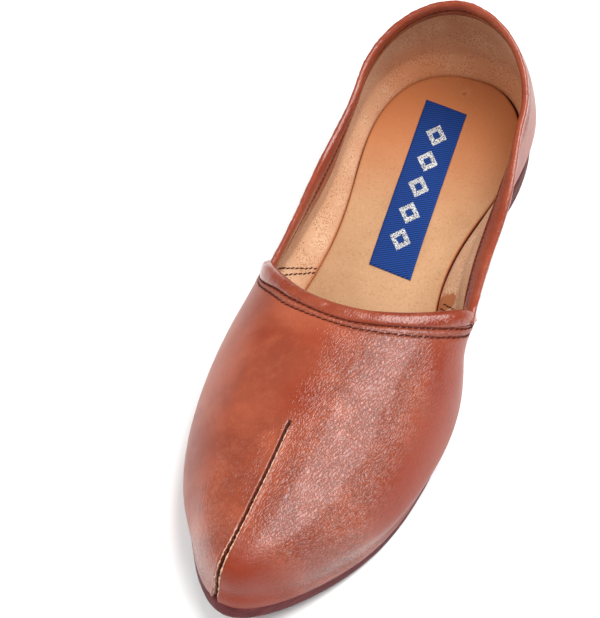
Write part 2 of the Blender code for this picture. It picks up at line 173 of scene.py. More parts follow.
# The vamp's main creases. Ends are shares of the sole's length from the toe and of half the ball
# width from the middle, then comes the bend, a share of half the sole's length, and the width and
# depth in millimetres; a depth below zero is a ridge.
CREASES = (
    (0.384, 0.02, 0.338, -0.06, 0.02, 1.1, 0.08),
    (0.386, 0.14, 0.330, 0.04, 0.02, 1.0, 0.10),
    (0.382, 0.24, 0.322, 0.13, 0.03, 1.0, 0.14),
    (0.388, 0.32, 0.312, 0.20, 0.03, 1.2, 0.26),
    (0.392, 0.40, 0.316, 0.29, 0.02, 1.2, 0.26),
    (0.396, 0.48, 0.306, 0.37, 0.02, 1.3, 0.28),
    (0.398, 0.56, 0.312, 0.46, 0.02, 1.2, 0.28),
    (0.400, 0.64, 0.318, 0.55, 0.01, 1.3, 0.26),
    (0.402, 0.71, 0.330, 0.64, 0.00, 1.3, 0.22),
    (0.330, 0.66, 0.262, 0.50, 0.04, 1.5, 0.26),
    (0.322, 0.56, 0.250, 0.38, 0.04, 1.5, 0.24),
    (0.312, 0.44, 0.245, 0.28, 0.03, 1.4, 0.24),
    (0.300, 0.34, 0.232, 0.18, 0.03, 1.4, 0.22),
    (0.288, 0.70, 0.225, 0.55, 0.03, 1.5, 0.20),
    (0.262, 0.60, 0.205, 0.42, 0.03, 1.4, 0.22),
    (0.255, 0.46, 0.190, 0.27, 0.02, 1.4, 0.22),
    (0.236, 0.30, 0.180, 0.12, 0.02, 1.3, 0.18),
    (0.225, 0.64, 0.165, 0.46, 0.02, 1.4, 0.18),
    (0.200, 0.52, 0.145, 0.32, 0.02, 1.3, 0.20),
    (0.172, 0.62, 0.120, 0.44, 0.02, 1.3, 0.16),
    (0.160, 0.40, 0.108, 0.22, 0.02, 1.2, 0.18),
    (0.128, 0.48, 0.085, 0.30, 0.02, 1.2, 0.15),
    (0.222, 0.04, 0.234, 0.22, 0.01, 1.0, 0.14),
    (0.192, 0.03, 0.205, 0.24, 0.01, 1.0, 0.15),
    (0.166, 0.02, 0.176, 0.22, 0.01, 1.0, 0.14),
    (0.140, 0.01, 0.146, 0.20, 0.01, 0.9, 0.14),
    (0.116, 0.00, 0.118, 0.18, 0.01, 0.9, 0.12),
    (0.222, -0.12, 0.214, -0.34, 0.01, 1.2, 0.14),
    (0.198, -0.14, 0.186, -0.38, 0.01, 1.1, 0.16),
    (0.178, -0.15, 0.162, -0.40, 0.01, 1.1, 0.17),
    (0.158, -0.16, 0.140, -0.42, 0.01, 1.0, 0.18),
    (0.138, -0.17, 0.118, -0.42, 0.01, 1.0, 0.18),
    (0.120, -0.18, 0.098, -0.42, 0.01, 1.0, 0.17),
    (0.102, -0.19, 0.080, -0.40, 0.01, 0.9, 0.15),
    (0.086, -0.21, 0.064, -0.38, 0.01, 0.9, 0.12),
    (0.345, -0.20, 0.318, -0.52, 0.03, 2.4, 0.12),
    (0.305, -0.22, 0.282, -0.50, 0.03, 2.2, 0.12),
    (0.262, -0.20, 0.248, -0.48, 0.02, 2.0, 0.12),
    (0.445, 0.97, 0.372, 1.04, -0.02, 1.9, 0.40),
    (0.440, 0.88, 0.352, 0.94, -0.02, 1.8, 0.30),
    (0.430, 1.06, 0.385, 1.12, -0.01, 1.7, 0.26),
    (0.415, 0.80, 0.320, 0.80, -0.03, 2.2, -0.22),
    (0.268, 0.02, 0.262, -0.18, 0.01, 3.0, 0.14),
)

# Patches of painted shade on the vamp, darker and warmer, placed and sized by the same shares.
PAINTED_SHADE_SPOTS = (
    Spot(0.288, 0.00, 0.032, 0.16, 1.0),
    Spot(0.375, -0.05, 0.022, 0.22, 0.7),
    Spot(0.375, -0.55, 0.020, 0.20, 0.5),
    Spot(0.020, 0.20, 0.030, 0.40, 1.2),
    Spot(0.400, 0.92, 0.045, 0.09, 0.8),
    Spot(0.085, 0.45, 0.03, 0.25, 0.7),
    Spot(0.170, 0.90, 0.09, 0.20, 0.5),
)
# Stitches in millimetres, with their slant in radians
ROW_STITCH = Stitch(2.5, 2.5, 0.56, 0.13, 0.20)
COLLAR_STITCH = Stitch(2.4, 1.5, 0.50, 0.10, 0.10)
COLLAR_BACK_STITCH = Stitch(2.4, 1.5, 0.46, 0.08, 0.08)
CORNER_STITCH = Stitch(2.1, 1.9, 0.55, 0.10, 0.22)
SIDE_STITCH = Stitch(2.8, 2.5, 0.62, 0.10, 0.14)
TOE_STITCH = Stitch(2.9, 2.9, 0.55, 0.18, 0.16)
TOE_BACK_STITCH = Stitch(2.9, 2.7, 0.5, 0.15, -0.12)
# Stitch rows inside the throat's corners: place and millimetres below the edge, at both ends.
CORNER_ROWS = (
    ("inner_corner_first", -0.6435, 17.5, -0.6755, 33.2),
    ("inner_corner_second", -0.6369, 19.5, -0.6710, 33.4),
    ("outer_corner_first", 0.6400, 19.0, 0.6645, 32.6),
    ("outer_corner_second", 0.6395, 22.0, 0.6610, 34.0),
)
# Frayed ends: share of the toe seam's line, how far to which side, length in millimetres and curl.
FIBRES = (
    (0.97, -1.6, 2.4, 2.2), (0.955, -1.2, 1.6, -1.2), (0.72, 1.2, 1.3, 1.2), (0.66, 1.3, 0.9, -1.0),
    (0.60, -1.1, 1.0, 1.4), (0.50, 1.3, 1.5, 1.8), (0.43, 1.2, 1.1, -1.2), (0.30, 1.3, 1.6, 1.4),
    (0.22, 1.2, 1.2, 1.0), (0.12, -1.2, 1.4, -1.5), (0.05, 1.2, 1.4, 1.2),
)


def spline(xs, ys, level_end=False):
    """Smooth curve through points, straight at the start and straight or level at the end."""
    xs, ys = np.asarray(xs, float), np.asarray(ys, float)
    count = len(xs)
    step = np.diff(xs)
    slope = np.diff(ys) / step
    rows, known = np.eye(count), np.zeros(count)
    for i in range(1, count - 1):
        rows[i, i - 1:i + 2] = step[i - 1], 2 * (step[i - 1] + step[i]), step[i]
        known[i] = 6 * (slope[i] - slope[i - 1])
    if level_end:
        rows[-1, -2:] = step[-1], 2 * step[-1]
        known[-1] = -6 * slope[-1]
    bend = np.linalg.solve(rows, known)

    def at(x):
        x = np.clip(x, xs[0], xs[-1])
        i = np.clip(np.searchsorted(xs, x) - 1, 0, count - 2)
        h = step[i]
        left, right = (xs[i + 1] - x) / h, (x - xs[i]) / h
        curve = (left**3 - left) * bend[i] + (right**3 - right) * bend[i + 1]
        return left * ys[i] + right * ys[i + 1] + curve * h * h / 6

    return at


def column(table, name):
    return np.array([getattr(row, name) for row in table])


def ease(x):
    x = np.clip(x, 0, 1)
    return x * x * (3 - 2 * x)


def unit(v):
    return v / np.maximum(np.linalg.norm(v, axis=-1, keepdims=True), 1e-12)


def bell(x, width, power=2):
    """One where x is 0, falling off to both sides over about that width."""
    return np.exp(-(x / width) ** power)


ALONG = column(PLAN, "along")
SIDES = COLLAR[:-1]
sole_half = spline(np.sqrt(ALONG), column(PLAN, "half") * BALL_WIDTH / 2, level_end=True)
sole_shift = spline(ALONG, column(PLAN, "shift") * BALL_WIDTH, level_end=True)
upper_bulge = spline(ALONG, column(PLAN, "bulge") * BULGE, level_end=True)
ridge_share = spline(np.sqrt(column(RIDGE, "along")), column(RIDGE, "height"))
collar_rise = spline(column(COLLAR, "along"), column(COLLAR, "height"))
collar_half = spline(column(SIDES, "along"), column(SIDES, "half") * BALL_WIDTH / 2, level_end=True)
collar_shift = spline(column(COLLAR, "along"), column(COLLAR, "shift") * BALL_WIDTH)


def share(y):
    return np.clip(y / SOLE_LENGTH + 0.5, 0, 1)


def heel_rise(t):
    return HEEL_HEIGHT * ease((t - WAIST_START) / (HEEL_SEAT_START - WAIST_START))


def under_height(y):
    t = share(y)
    return TOE_SPRING * np.clip(1 - t / SPRING_END, 0, 1) ** 2 + heel_rise(t)


def sole_slope(y):
    return -2 * TOE_SPRING / (SPRING_END * SOLE_LENGTH) * np.clip(1 - share(y) / SPRING_END, 0, 1)


def raised(points, height):
    """Points on the outsole's underside, lifted square to it by a height."""
    x, y = points[..., 0], points[..., 1]
    return np.stack([x, y - sole_slope(y) * height, under_height(y) + height], -1)


def wrapped(place):
    return (np.asarray(place, float) + 1) % 2 - 1


def all_round(count):
    """Places from the toe's tip along the outer side to the heel and back along the inner side."""
    side = np.linspace(0, 1, count + 1)
    return np.concatenate([side, -side[-2:0:-1]])


def sole_edge(place):
    place = wrapped(place)
    a, side = np.abs(place), np.sign(place)
    t = HEEL_ROUND_START * np.clip(a / HEEL_ROUND_PLACE, 0, 1) ** 2
    turn = np.clip((a - HEEL_ROUND_PLACE) / (1 - HEEL_ROUND_PLACE), 0, 1) * np.pi / 2
    power = 2 / HEEL_ROUNDNESS
    heel = (1 - HEEL_ROUND_START) * SOLE_LENGTH * np.sin(turn) ** power
    half = sole_half(np.sqrt(t)) * np.maximum(np.cos(turn), 0) ** power
    return np.stack([sole_shift(t) + side * half, (t - 0.5) * SOLE_LENGTH + heel], -1)


def moved_edge(place, outward):
    along = unit(sole_edge(place + 0.0001) - sole_edge(place - 0.0001))
    normal = np.stack([along[..., 1], -along[..., 0]], -1)
    return sole_edge(place) + normal * np.expand_dims(outward, -1)


def feather(place, rise):
    """The last from the sole, where rise is 0, to its widest line, where rise is 1."""
    t = share(sole_edge(place)[..., 1])
    out = upper_bulge(t) * ease(rise) - SOLE_MARGIN - VAMP_WALL
    height = WIDEST_HEIGHT * (TOE_HEIGHT_SHARE + (1 - TOE_HEIGHT_SHARE) * ease(t / TOE_WALL_END))
    return raised(moved_edge(place, out), SOLE_THICKNESS + RIM_GAP + height * rise)


WIDEST_LINE = feather(np.linspace(-1, 1, 801), 1.0)
INNER_LINE, OUTER_LINE = WIDEST_LINE[400::-1], WIDEST_LINE[400:]
TIP_Y = OUTER_LINE[0, 1]


def vamp_height(x, y):
    inner, outer = (np.interp(y, line[:, 1], line[:, 0]) for line in (INNER_LINE, OUTER_LINE))
    across = np.clip(np.abs(2 * x - inner - outer) / np.maximum(outer - inner, 1e-6), 0, 1)
    widest = np.interp(y, OUTER_LINE[:, 1], OUTER_LINE[:, 2])
    past_tip = np.clip((y - TIP_Y) / SOLE_LENGTH, 0, 1)
    ridge = (INSTEP_HEIGHT - WIDEST_HEIGHT) * ridge_share(np.sqrt(past_tip))
    return widest + ridge * (1 - across**SECTION_SIDE) ** (1 / SECTION_TOP)


def collar_edge(place):
    """Top edge of the quarters, from the corners of the throat to the back of the heel."""
    a, side = np.abs(place), np.sign(place)
    straight = np.clip((a - CORNER_PLACE) / (HEEL_ROUND_PLACE - CORNER_PLACE), 0, 1)
    t = THROAT_CORNER + (HEEL_ROUND_START - THROAT_CORNER) * straight
    turn = np.clip((a - HEEL_ROUND_PLACE) / (1 - HEEL_ROUND_PLACE), 0, 1) * np.pi / 2
    power = 2 / COLLAR_ROUNDNESS
    reach = np.sin(turn) ** power
    half = (collar_half(t) - QUARTER_WALL) * np.maximum(np.cos(turn), 0) ** power
    y = (t - 0.5) * SOLE_LENGTH + ((COLLAR_BACK - HEEL_ROUND_START) * SOLE_LENGTH - QUARTER_WALL) * reach
    back = t + (1 - HEEL_ROUND_START) * reach
    z = SOLE_THICKNESS + heel_rise(back) + SIDE_HEIGHT + (BACK_HEIGHT - SIDE_HEIGHT) * collar_rise(back)
    return np.stack([collar_shift(t) + side * half, y, z], -1)


def throat_edge(place):
    """Top edge of the vamp, across the instep from one corner to the other."""
    a = np.abs(np.clip(place / CORNER_PLACE, -1, 1))[..., None]
    corner = collar_edge(np.where(place < 0, -CORNER_PLACE, CORNER_PLACE))
    y = (THROAT_CENTRE - 0.5) * SOLE_LENGTH
    x = sole_shift(THROAT_CENTRE)
    centre = np.array([x, y, vamp_height(x, y)])
    inward = 1 - a**THROAT_ROUNDNESS
    return np.concatenate([
        centre[0] + (corner[..., 0:1] - centre[0]) * a,
        corner[..., 1:2] + (centre[1] - corner[..., 1:2]) * inward**THROAT_SWEEP,
        corner[..., 2:3] + (centre[2] - corner[..., 2:3]) * inward**THROAT_ARCH,
    ], -1)


def last_column(place):
    """The last's surface at each place, as a fine line of points from the sole to the top edge."""
    place = wrapped(place)[:, None]
    rise = np.linspace(0, 1, 40)[None, :]
    low = feather(place + 0 * rise, rise + 0 * place)
    climb = np.linspace(0, 1, 160)[None, :, None]
    base = low[:, -1:, :]
    on_vamp = (np.abs(place) < CORNER_PLACE)[..., None]
    top = np.where(on_vamp, throat_edge(place), collar_edge(place))
    flat = base + (top - base) * climb**VAMP_FILL
    height = vamp_height(flat[..., 0], flat[..., 1])
    miss = top[..., 2] - height[:, -1:]
    vamp = np.stack([flat[..., 0], flat[..., 1], height + miss * climb[..., 0] ** EDGE_PULL], -1)
    quarter = np.concatenate([(base + (top - base) * climb**QUARTER_FILL)[..., :2],
                              (base + (top - base) * climb)[..., 2:]], -1)
    mix = ease((np.abs(place) / CORNER_PLACE - 0.5) / 0.5)[..., None]
    high = vamp * (1 - mix) + quarter * mix
    return np.concatenate([low, high[:, 1:]], 1)


def travelled(lines):
    steps = np.linalg.norm(np.diff(lines, axis=1), axis=2)
    return np.concatenate([np.zeros((len(lines), 1)), np.cumsum(steps, 1)], 1)


def at_distance(lines, run, distance):
    """Points at the given distances along each line; one row of distances for each line."""
    return np.stack([[np.interp(d, r, line[:, k]) for d, r, line in zip(distance, run, lines)]
                     for k in range(3)], -1)


def on_last(place, depths):
    """Points on the last at depths below the top edge."""
    place = np.asarray(place, float)
    lines = last_column(place)
    run = travelled(lines)
    depths = np.broadcast_to(depths, (len(place), np.shape(depths)[-1]))
    return at_distance(lines, run, run[:, -1:] - depths)


def outward(place, depths):
    """Outward directions at the same points."""
    place, depths = np.asarray(place, float), np.asarray(depths, float)
    around = on_last(place + 0.002, depths) - on_last(place - 0.002, depths)
    down = on_last(place, depths + 0.4 * MM) - on_last(place, depths)
    return unit(np.cross(down, around))


def sheet(place, shares):
    """The last as a grid: columns at each place, rows at shares of the way up. Also their depths."""
    lines = last_column(place)
    run = travelled(lines)
    grid = at_distance(lines, run, run[:, -1:] * shares)
    return grid, run[:, -1:] * (1 - shares)


def sheet_normals(grid):
    around = np.gradient(grid, axis=0)
    up = np.gradient(grid, axis=1)
    return unit(np.cross(around, up))


def wander(x, seed):
    """A smooth uneven line between about -1 and 1, the same each time."""
    made, waves = np.random.RandomState(seed), np.arange(6)
    pace = 1 + waves * 1.37 + made.rand(6)
    size = 1 / (1 + waves * 0.6)
    return sum(s * np.sin(x * p + made.rand() * 6.28) for s, p in zip(size, pace)) / size.sum() * 1.6


def drift(points, seed, size):
    """A soft unevenness over a surface, between about -1 and 1, with lumps of about that size."""
    made = np.random.RandomState(seed)
    total = 0
    for _ in range(7):
        way = made.randn(3)
        way *= 6.28 / size / np.linalg.norm(way) * (0.6 + 0.8 * made.rand())
        total = total + np.sin(points @ way + made.rand() * 6.28)
    return total / 4


def row_depth(places, name):
    """Depth of a stitch row, or the roll's lift, at places around the throat."""
    return spline(column(ROWS, "place"), column(ROWS, name))(places) * MM


def seam_side(y):
    """How far the toe seam runs beside the middle of the toe."""
    return np.interp(share(y), column(SEAM, "along"), column(SEAM, "side")) * MM


def beside_seam(grid):
    """Distance of each point from the toe seam, across the toe."""
    middle = last_column(np.array([0.0]))[0]
    y = np.maximum.accumulate(middle[:, 1])
    return grid[..., 0] - np.interp(grid[..., 1], y, middle[:, 0]) - seam_side(grid[..., 1])


def tucked_over(points, normal, depth):
    """Points near the bottom edge, drawn down and a little out over the rim of the sole."""
    above = depth.max(1, keepdims=True) - depth
    down = 1.55 * MM * ease((3.4 * MM - above) / (3.4 * MM))
    out = 0.85 * MM * bell(above - 1.4 * MM, 2.0 * MM)
    return points + normal * out[..., None] - UP * down[..., None]


def creased(points):
    """Depth of the listed creases at each point. Each follows a slightly bent line."""
    x, y = points[..., 0], points[..., 1]
    total = np.zeros(x.shape)
    for number, (along0, across0, along1, across1, bend, width, depth) in enumerate(CREASES):
        (x0, y0), (x1, y1) = (((a - TOE_LEAN) * BALL_WIDTH / 2, (t - 0.5) * SOLE_LENGTH)
                              for t, a in ((along0, across0), (along1, across1)))
        length = np.hypot(x1 - x0, y1 - y0)
        ax, ay = (x1 - x0) / length, (y1 - y0) / length
        along = ((x - x0) * ax + (y - y0) * ay) / length
        bow = bend * SOLE_LENGTH / 2 * np.sin(np.clip(along, 0, 1) * np.pi)
        off = (y - y0) * ax - (x - x0) * ay - bow + 0.28 * MM * wander(along * 2, 40 + number)
        width = width * MM
        trough = bell(off, width) - 0.45 * bell(np.abs(off) - 1.7 * width, width)
        total += depth * MM * ease(along / 0.3) * ease((1 - along) / 0.35) * trough
    return total


class Wire:
    """One output of a node, so that sums on it read as arithmetic and add their Math nodes."""

    def __init__(self, finish, socket):
        self.finish, self.socket = finish, socket

    def work(self, operation, *values):
        return self.finish.node("ShaderNodeMath", {"operation": operation}, dict(enumerate(values)))

    def __add__(self, other):
        return self.work("ADD", self, other)

    def __sub__(self, other):
        return self.work("SUBTRACT", self, other)

    def __rsub__(self, other):
        return self.work("SUBTRACT", other, self)

    def __mul__(self, other):
        return self.work("MULTIPLY", self, other)

    def __truediv__(self, other):
        return self.work("DIVIDE", self, other)

    def __lt__(self, other):
        return self.work("LESS_THAN", self, other)

    def __abs__(self):
        return self.work("ABSOLUTE", self)

    __radd__ = __add__
    __rmul__ = __mul__


class Finish:
    """A material of one of the shoe's finishes."""

    def __init__(self, name, **uniform):
        self.material = bpy.data.materials.new(name)
        self.material.use_nodes = True
        self.nodes = self.material.node_tree.nodes
        self.links = self.material.node_tree.links
        self.shader = self.nodes["Principled BSDF"]
        for socket, value in uniform.items():
            self.shader.inputs[socket.replace("_", " ")].default_value = value

    def node(self, kind, settings, inputs, out=0):
        """A node with its settings, which come first, and the values or links of its inputs."""
        made = self.nodes.new(kind)
        for key, value in settings.items():
            setattr(made, key, value)
        for key, value in inputs.items():
            self.join(made.inputs[key], value)
        return Wire(self, made.outputs[out])

    def join(self, socket, value):
        if isinstance(value, Wire):
            self.links.new(value.socket, socket)
        elif isinstance(value, tuple) and len(value) == 3 and len(socket.default_value) == 4:
            socket.default_value = (*value, 1)
        else:
            socket.default_value = value

    def where(self):
        return self.node("ShaderNodeTexCoord", {}, {}, "Object")

    def laid_out(self):
        return self.node("ShaderNodeTexCoord", {}, {}, "UV")

    def turned(self, where, turn=(0, 0, 0), scale=(1, 1, 1)):
        return self.node("ShaderNodeMapping", {"vector_type": "TEXTURE"}, {0: where, 2: turn, 3: scale})

    def stretched(self, where, turn, length):
        """A pattern drawn out by that length along the shoe, turned by an angle in plan."""
        return self.turned(where, (0, 0, turn), (1, length, 1))

    def noise(self, where, size, detail=3.0, roughness=0.55, distortion=0.0):
        inputs = {"Vector": where, "Scale": 1 / size, "Detail": detail, "Roughness": roughness,
                  "Distortion": distortion}
        return self.node("ShaderNodeTexNoise", {}, inputs)

    def cells(self, where, size, feature):
        return self.node("ShaderNodeTexVoronoi", {"feature": feature}, {"Vector": where, "Scale": 1 / size})

    def bands(self, value, low, high, to_low=0.0, to_high=1.0):
        inputs = {0: value, 1: low, 2: high, 3: to_low, 4: to_high}
        return self.node("ShaderNodeMapRange", {"interpolation_type": "SMOOTHSTEP"}, inputs)

    def parts(self, vector):
        return [self.node("ShaderNodeSeparateXYZ", {}, {0: vector}, axis) for axis in "XY"]

    def mix(self, amount, first, second):
        settings = {"data_type": "RGBA", "clamp_factor": True}
        return self.node("ShaderNodeMix", settings, {0: amount, 6: first, 7: second}, 2)

    def layered(self, body, *layers):
        """A colour with others laid over it, each in its amount."""
        for amount, colour in layers:
            body = self.mix(amount, body, colour)
        return body

    def painted(self, name):
        return self.node("ShaderNodeAttribute", {"attribute_name": name}, {}, "Fac")

    def bump(self, height, distance, strength=1.0, under=None):
        inputs = {"Height": height, "Distance": distance, "Strength": strength}
        if under is not None:
            inputs["Normal"] = under
        return self.node("ShaderNodeBump", {}, inputs)

    def wear(self, colour, rough, normal, coat=0.0):
        surface = {"Base Color": colour, "Roughness": rough, "Normal": normal, "Coat Weight": coat}
        for socket, value in surface.items():
            self.join(self.shader.inputs[socket], value)
        return self.material


# A paler tan for rubbed patches and for the painted highlight on the wrinkles' cells; a darker, warmer tan
# for the warm paint, which is partly painted shade.
RUBBED_TAN_AND_HIGHLIGHT = (0.38, 0.104, 0.054)
WARM_TAN_AND_SHADE = (0.205, 0.022, 0.005)
LEATHER_ROUGHNESS = 0.15


def grained_leather(name, deep, tan):
    """Coated leather: a network of fine wrinkles that lie mostly lengthwise, a pebble grain and soft
    changes of shade. The paint says where it is crinkled, darkened by painted shade, made darker and
    warmer or rubbed dull; the warmer paint is painted shade on the vamp and the band's inside face and
    the leather's own tone elsewhere. Where it is crinkled, the wrinkle lines carry painted shade and
    the cells between them a painted highlight."""
    finish = Finish(name, IOR=1.50, Coat_Roughness=0.17)
    where = finish.where()
    crinkle, dark, warm, dull = (finish.painted(label) for label in ("crinkle", "dark", "warm", "dull"))
    swirl = finish.node("ShaderNodeTexNoise", {}, {"Vector": where, "Scale": 130.0, "Detail": 2.0}, 1)
    bent = finish.node("ShaderNodeVectorMath", {"operation": "MULTIPLY_ADD"},
                       {0: swirl, 1: (0.0015, 0.0015, 0.0015), 2: where})
    length = finish.stretched(bent, -0.42, 3.2)
    slant = finish.stretched(bent, 0.36, 2.4)
    long_cells = finish.bands(finish.cells(length, 1.15 * MM, "DISTANCE_TO_EDGE"), 0.0, 0.24)
    short_cells = finish.bands(finish.cells(slant, 1.05 * MM, "DISTANCE_TO_EDGE"), 0.0, 0.22)
    bends = finish.noise(finish.stretched(bent, -0.30, 3.6), 3.0 * MM, 2.0)
    folds = finish.bands(abs(bends - 0.5), 0.0, 0.10)
    pebble = finish.cells(bent, 0.80 * MM, "SMOOTH_F1")
    pores = finish.noise(where, 0.35 * MM, 2)
    patch = finish.noise(where, 9 * MM, 3)
    strength = crinkle * finish.bands(patch, 0.25, 0.60, 0.55, 1.0)
    lines = long_cells * 0.52 + short_cells * 0.36 + folds * 0.12
    shade = finish.noise(where, 26 * MM, 4, 0.6, 0.4)
    blotch = finish.noise(where, 6 * MM, 5, 0.65)
    body = finish.layered(
        finish.mix(finish.bands(shade, 0.36, 0.66), deep, tan),
        (finish.bands(blotch, 0.45, 0.78) * 0.30, RUBBED_TAN_AND_HIGHLIGHT),
        # Darker and warmer where the warm paint is: painted shade on the vamp and the band's inside face,
        # the leather's own tone elsewhere.
        (warm * 0.85, WARM_TAN_AND_SHADE),
        # Painted shade in the wrinkle lines and a painted highlight on the cells between them, both
        # following the crinkle paint, which is highest where the vamp is lit.
        ((1 - lines) * strength * 0.90, tuple(c * 0.55 for c in deep)),
        (lines * strength * 0.12, RUBBED_TAN_AND_HIGHLIGHT),
        # Painted shade from the dark paint.
        (dark * 0.72, tuple(c * 0.18 for c in deep)))
    rough = LEATHER_ROUGHNESS + finish.bands(patch, 0.3, 0.7) * 0.04 + strength * (1 - lines) * 0.10
    rough = rough + pores * 0.04 + dull * 0.26
    coarse = finish.bump(lines * strength, 0.34 * MM, 1.0)
    fine = finish.bump(pebble * 0.6 + pores * 0.4, 0.06 * MM, 0.6, coarse)
    coat = finish.bands(blotch, 0.2, 0.8, 0.32, 0.22) * (1 - dull)
    return finish.wear(body, rough, fine, coat)


def suede(name):
    """Brushed lining: pale tan nap with dark specks, glue stains and a softly shaded back."""
    finish = Finish(name, Sheen_Weight=0.04, Sheen_Roughness=0.5, IOR=1.4, Specular_IOR_Level=0.15)
    where = finish.where()
    stain, dark = finish.painted("stain"), finish.painted("dark")
    nap = finish.noise(where, 0.55 * MM, 4, 0.7)
    cloud = finish.noise(where, 14 * MM, 4, 0.6)
    speck = finish.cells(where, 0.80 * MM, "F1")
    sparse = finish.noise(where, 7 * MM, 3)
    dots = (1 - finish.bands(speck, 0.22, 0.50)) * finish.bands(sparse, 0.34, 0.54)
    glue = finish.noise(where, 2.2 * MM, 5, 0.7) + stain
    soft = finish.layered(
        finish.mix(finish.bands(cloud, 0.3, 0.7), (0.52, 0.290, 0.168), (0.62, 0.395, 0.255)),
        (finish.bands(nap, 0.42, 0.70) * 0.42, (0.40, 0.175, 0.075)),
        (dots * 0.68, (0.27, 0.095, 0.035)),
        (finish.bands(glue, 1.02, 1.25) * 0.85, (0.33, 0.095, 0.028)),
        # Painted shade from the dark paint: darker and more orange.
        (dark, (0.46, 0.130, 0.036)))
    return finish.wear(soft, 0.82 + nap * 0.12, finish.bump(nap, 0.25 * MM, 0.7))


def leatherboard(name):
    """Smooth pressed insole board, tan and finely flecked, with painted shade, darker and warmer,
    at its edge, under the heel and towards the toe.
    """
    finish = Finish(name, IOR=1.42, Specular_IOR_Level=0.35)
    where = finish.where()
    dark = finish.painted("dark")
    fleck = finish.noise(where, 1.1 * MM, 5, 0.80)
    fibre = finish.noise(finish.turned(where, (0, 0, 0.5), (1, 4, 1)), 0.7 * MM, 4, 0.65)
    cloud = finish.noise(where, 22 * MM, 3)
    board = finish.layered(
        finish.mix(finish.bands(cloud, 0.3, 0.7), (0.375, 0.200, 0.099), (0.435, 0.248, 0.130)),
        (finish.bands(fleck, 0.50, 0.72) * 0.85, (0.28, 0.122, 0.050)),
        (finish.bands(fibre, 0.56, 0.74) * 0.60, (0.53, 0.335, 0.200)),
        # Painted shade from the dark paint: darker and warmer.
        (dark, (0.42, 0.125, 0.038)))
    height = fleck * 0.5 + fibre * 0.5
    return finish.wear(board, 0.56 + fleck * 0.16, finish.bump(height, 0.08 * MM, 0.5))


def stacked_edge(name):
    """Waxed sole leather: dark maroon, faintly layered along the edge, scuffed pale in places."""
    finish = Finish(name, Specular_IOR_Level=0.2)
    where = finish.where()
    layers = finish.noise(finish.turned(where, (0, 0, 0), (20, 20, 1)), 0.5 * MM, 3, 0.6)
    scuff = finish.noise(where, 5 * MM, 6, 0.7)
    grit = finish.noise(where, 0.6 * MM, 3, 0.7)
    edge = finish.layered(
        finish.mix(finish.bands(layers, 0.35, 0.68), (0.066, 0.012, 0.014), (0.115, 0.025, 0.026)),
        (finish.bands(scuff, 0.58, 0.78) * 0.30, (0.20, 0.070, 0.055)))
    height = layers * 0.6 + grit * 0.4
    return finish.wear(edge, 0.50 + grit * 0.22, finish.bump(height, 0.12 * MM, 0.5))


def thread(name, colour):
    """Waxed linen thread, with its twist."""
    finish = Finish(name, Specular_IOR_Level=0.08)
    where = finish.where()
    twist = finish.noise(finish.turned(where, (0.4, 0.7, 0.9), (1, 1, 3)), 0.35 * MM, 2)
    shade = finish.mix(finish.bands(twist, 0.35, 0.65), colour, tuple(c * 2.4 + 0.004 for c in colour))
    return finish.wear(shade, 0.65 + twist * 0.2, finish.bump(twist, 0.12 * MM, 0.8))


def raw_edge(name):
    """Cut leather, pale and fibrous."""
    finish = Finish(name)
    where = finish.where()
    fibre = finish.noise(where, 0.5 * MM, 5, 0.75)
    shade = finish.mix(finish.bands(fibre, 0.35, 0.7), (0.42, 0.19, 0.11), (0.74, 0.50, 0.35))
    return finish.wear(shade, 0.85 + fibre * 0.1, finish.bump(fibre, 0.2 * MM, 0.8))


def twill(name):
    """Blue twill ribbon with a woven row of silver-grey lozenges. Laid out in metres."""
    finish = Finish(name, IOR=1.4, Specular_IOR_Level=0.25)
    u, v = finish.parts(finish.laid_out())
    diagonal = (v - u * 0.62) / (1.10 * MM)
    line = diagonal.work("PINGPONG", diagonal, 0.5) * 2
    pick = (u + v * 0.5) / (0.60 * MM)
    step = pick.work("PINGPONG", pick, 0.5) * 2
    rib = finish.bands(line, 0.12, 0.75)
    weft = finish.bands(step, 0.1, 0.6)
    spacing, half_length, half_width = 13.6 * MM, 5.6 * MM, 4.6 * MM
    along = v / spacing
    nearest = along - along.work("ROUND", along)
    lozenge = abs(nearest) * (spacing / half_length) + abs(u) / half_width
    ring = (lozenge < 1.0) * (1 - (lozenge < 0.42))
    inside = abs(v) < (0.40 * LABEL_LENGTH)
    motif = ring * inside
    salt = finish.noise(finish.where(), 0.42 * MM, 2, 0.7)
    cloth = finish.mix(rib * 0.75 + weft * 0.25, (0.001, 0.005, 0.032), (0.008, 0.048, 0.230))
    silver = finish.mix(finish.bands(salt, 0.42, 0.56), (0.012, 0.013, 0.020), (0.60, 0.61, 0.62))
    colour = finish.mix(motif, cloth, silver)
    height = rib * 0.6 + weft * 0.4 + motif * 0.8
    return finish.wear(colour, 0.62 + rib * 0.1, finish.bump(height, 0.16 * MM, 0.8))


def centred():
    """How far the solids stand from the sole's own middle."""
    places = all_round(40)
    ring = raised(moved_edge(places, 0 * places), SOLE_THICKNESS * 0.5)
    low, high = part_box("outsole")
    middle = (ring.min(0) + ring.max(0)) / 2
    return np.array([(low[0] + high[0]) / 2 - middle[0], (low[1] + high[1]) / 2 - middle[1], 0])


SHIFT = centred()


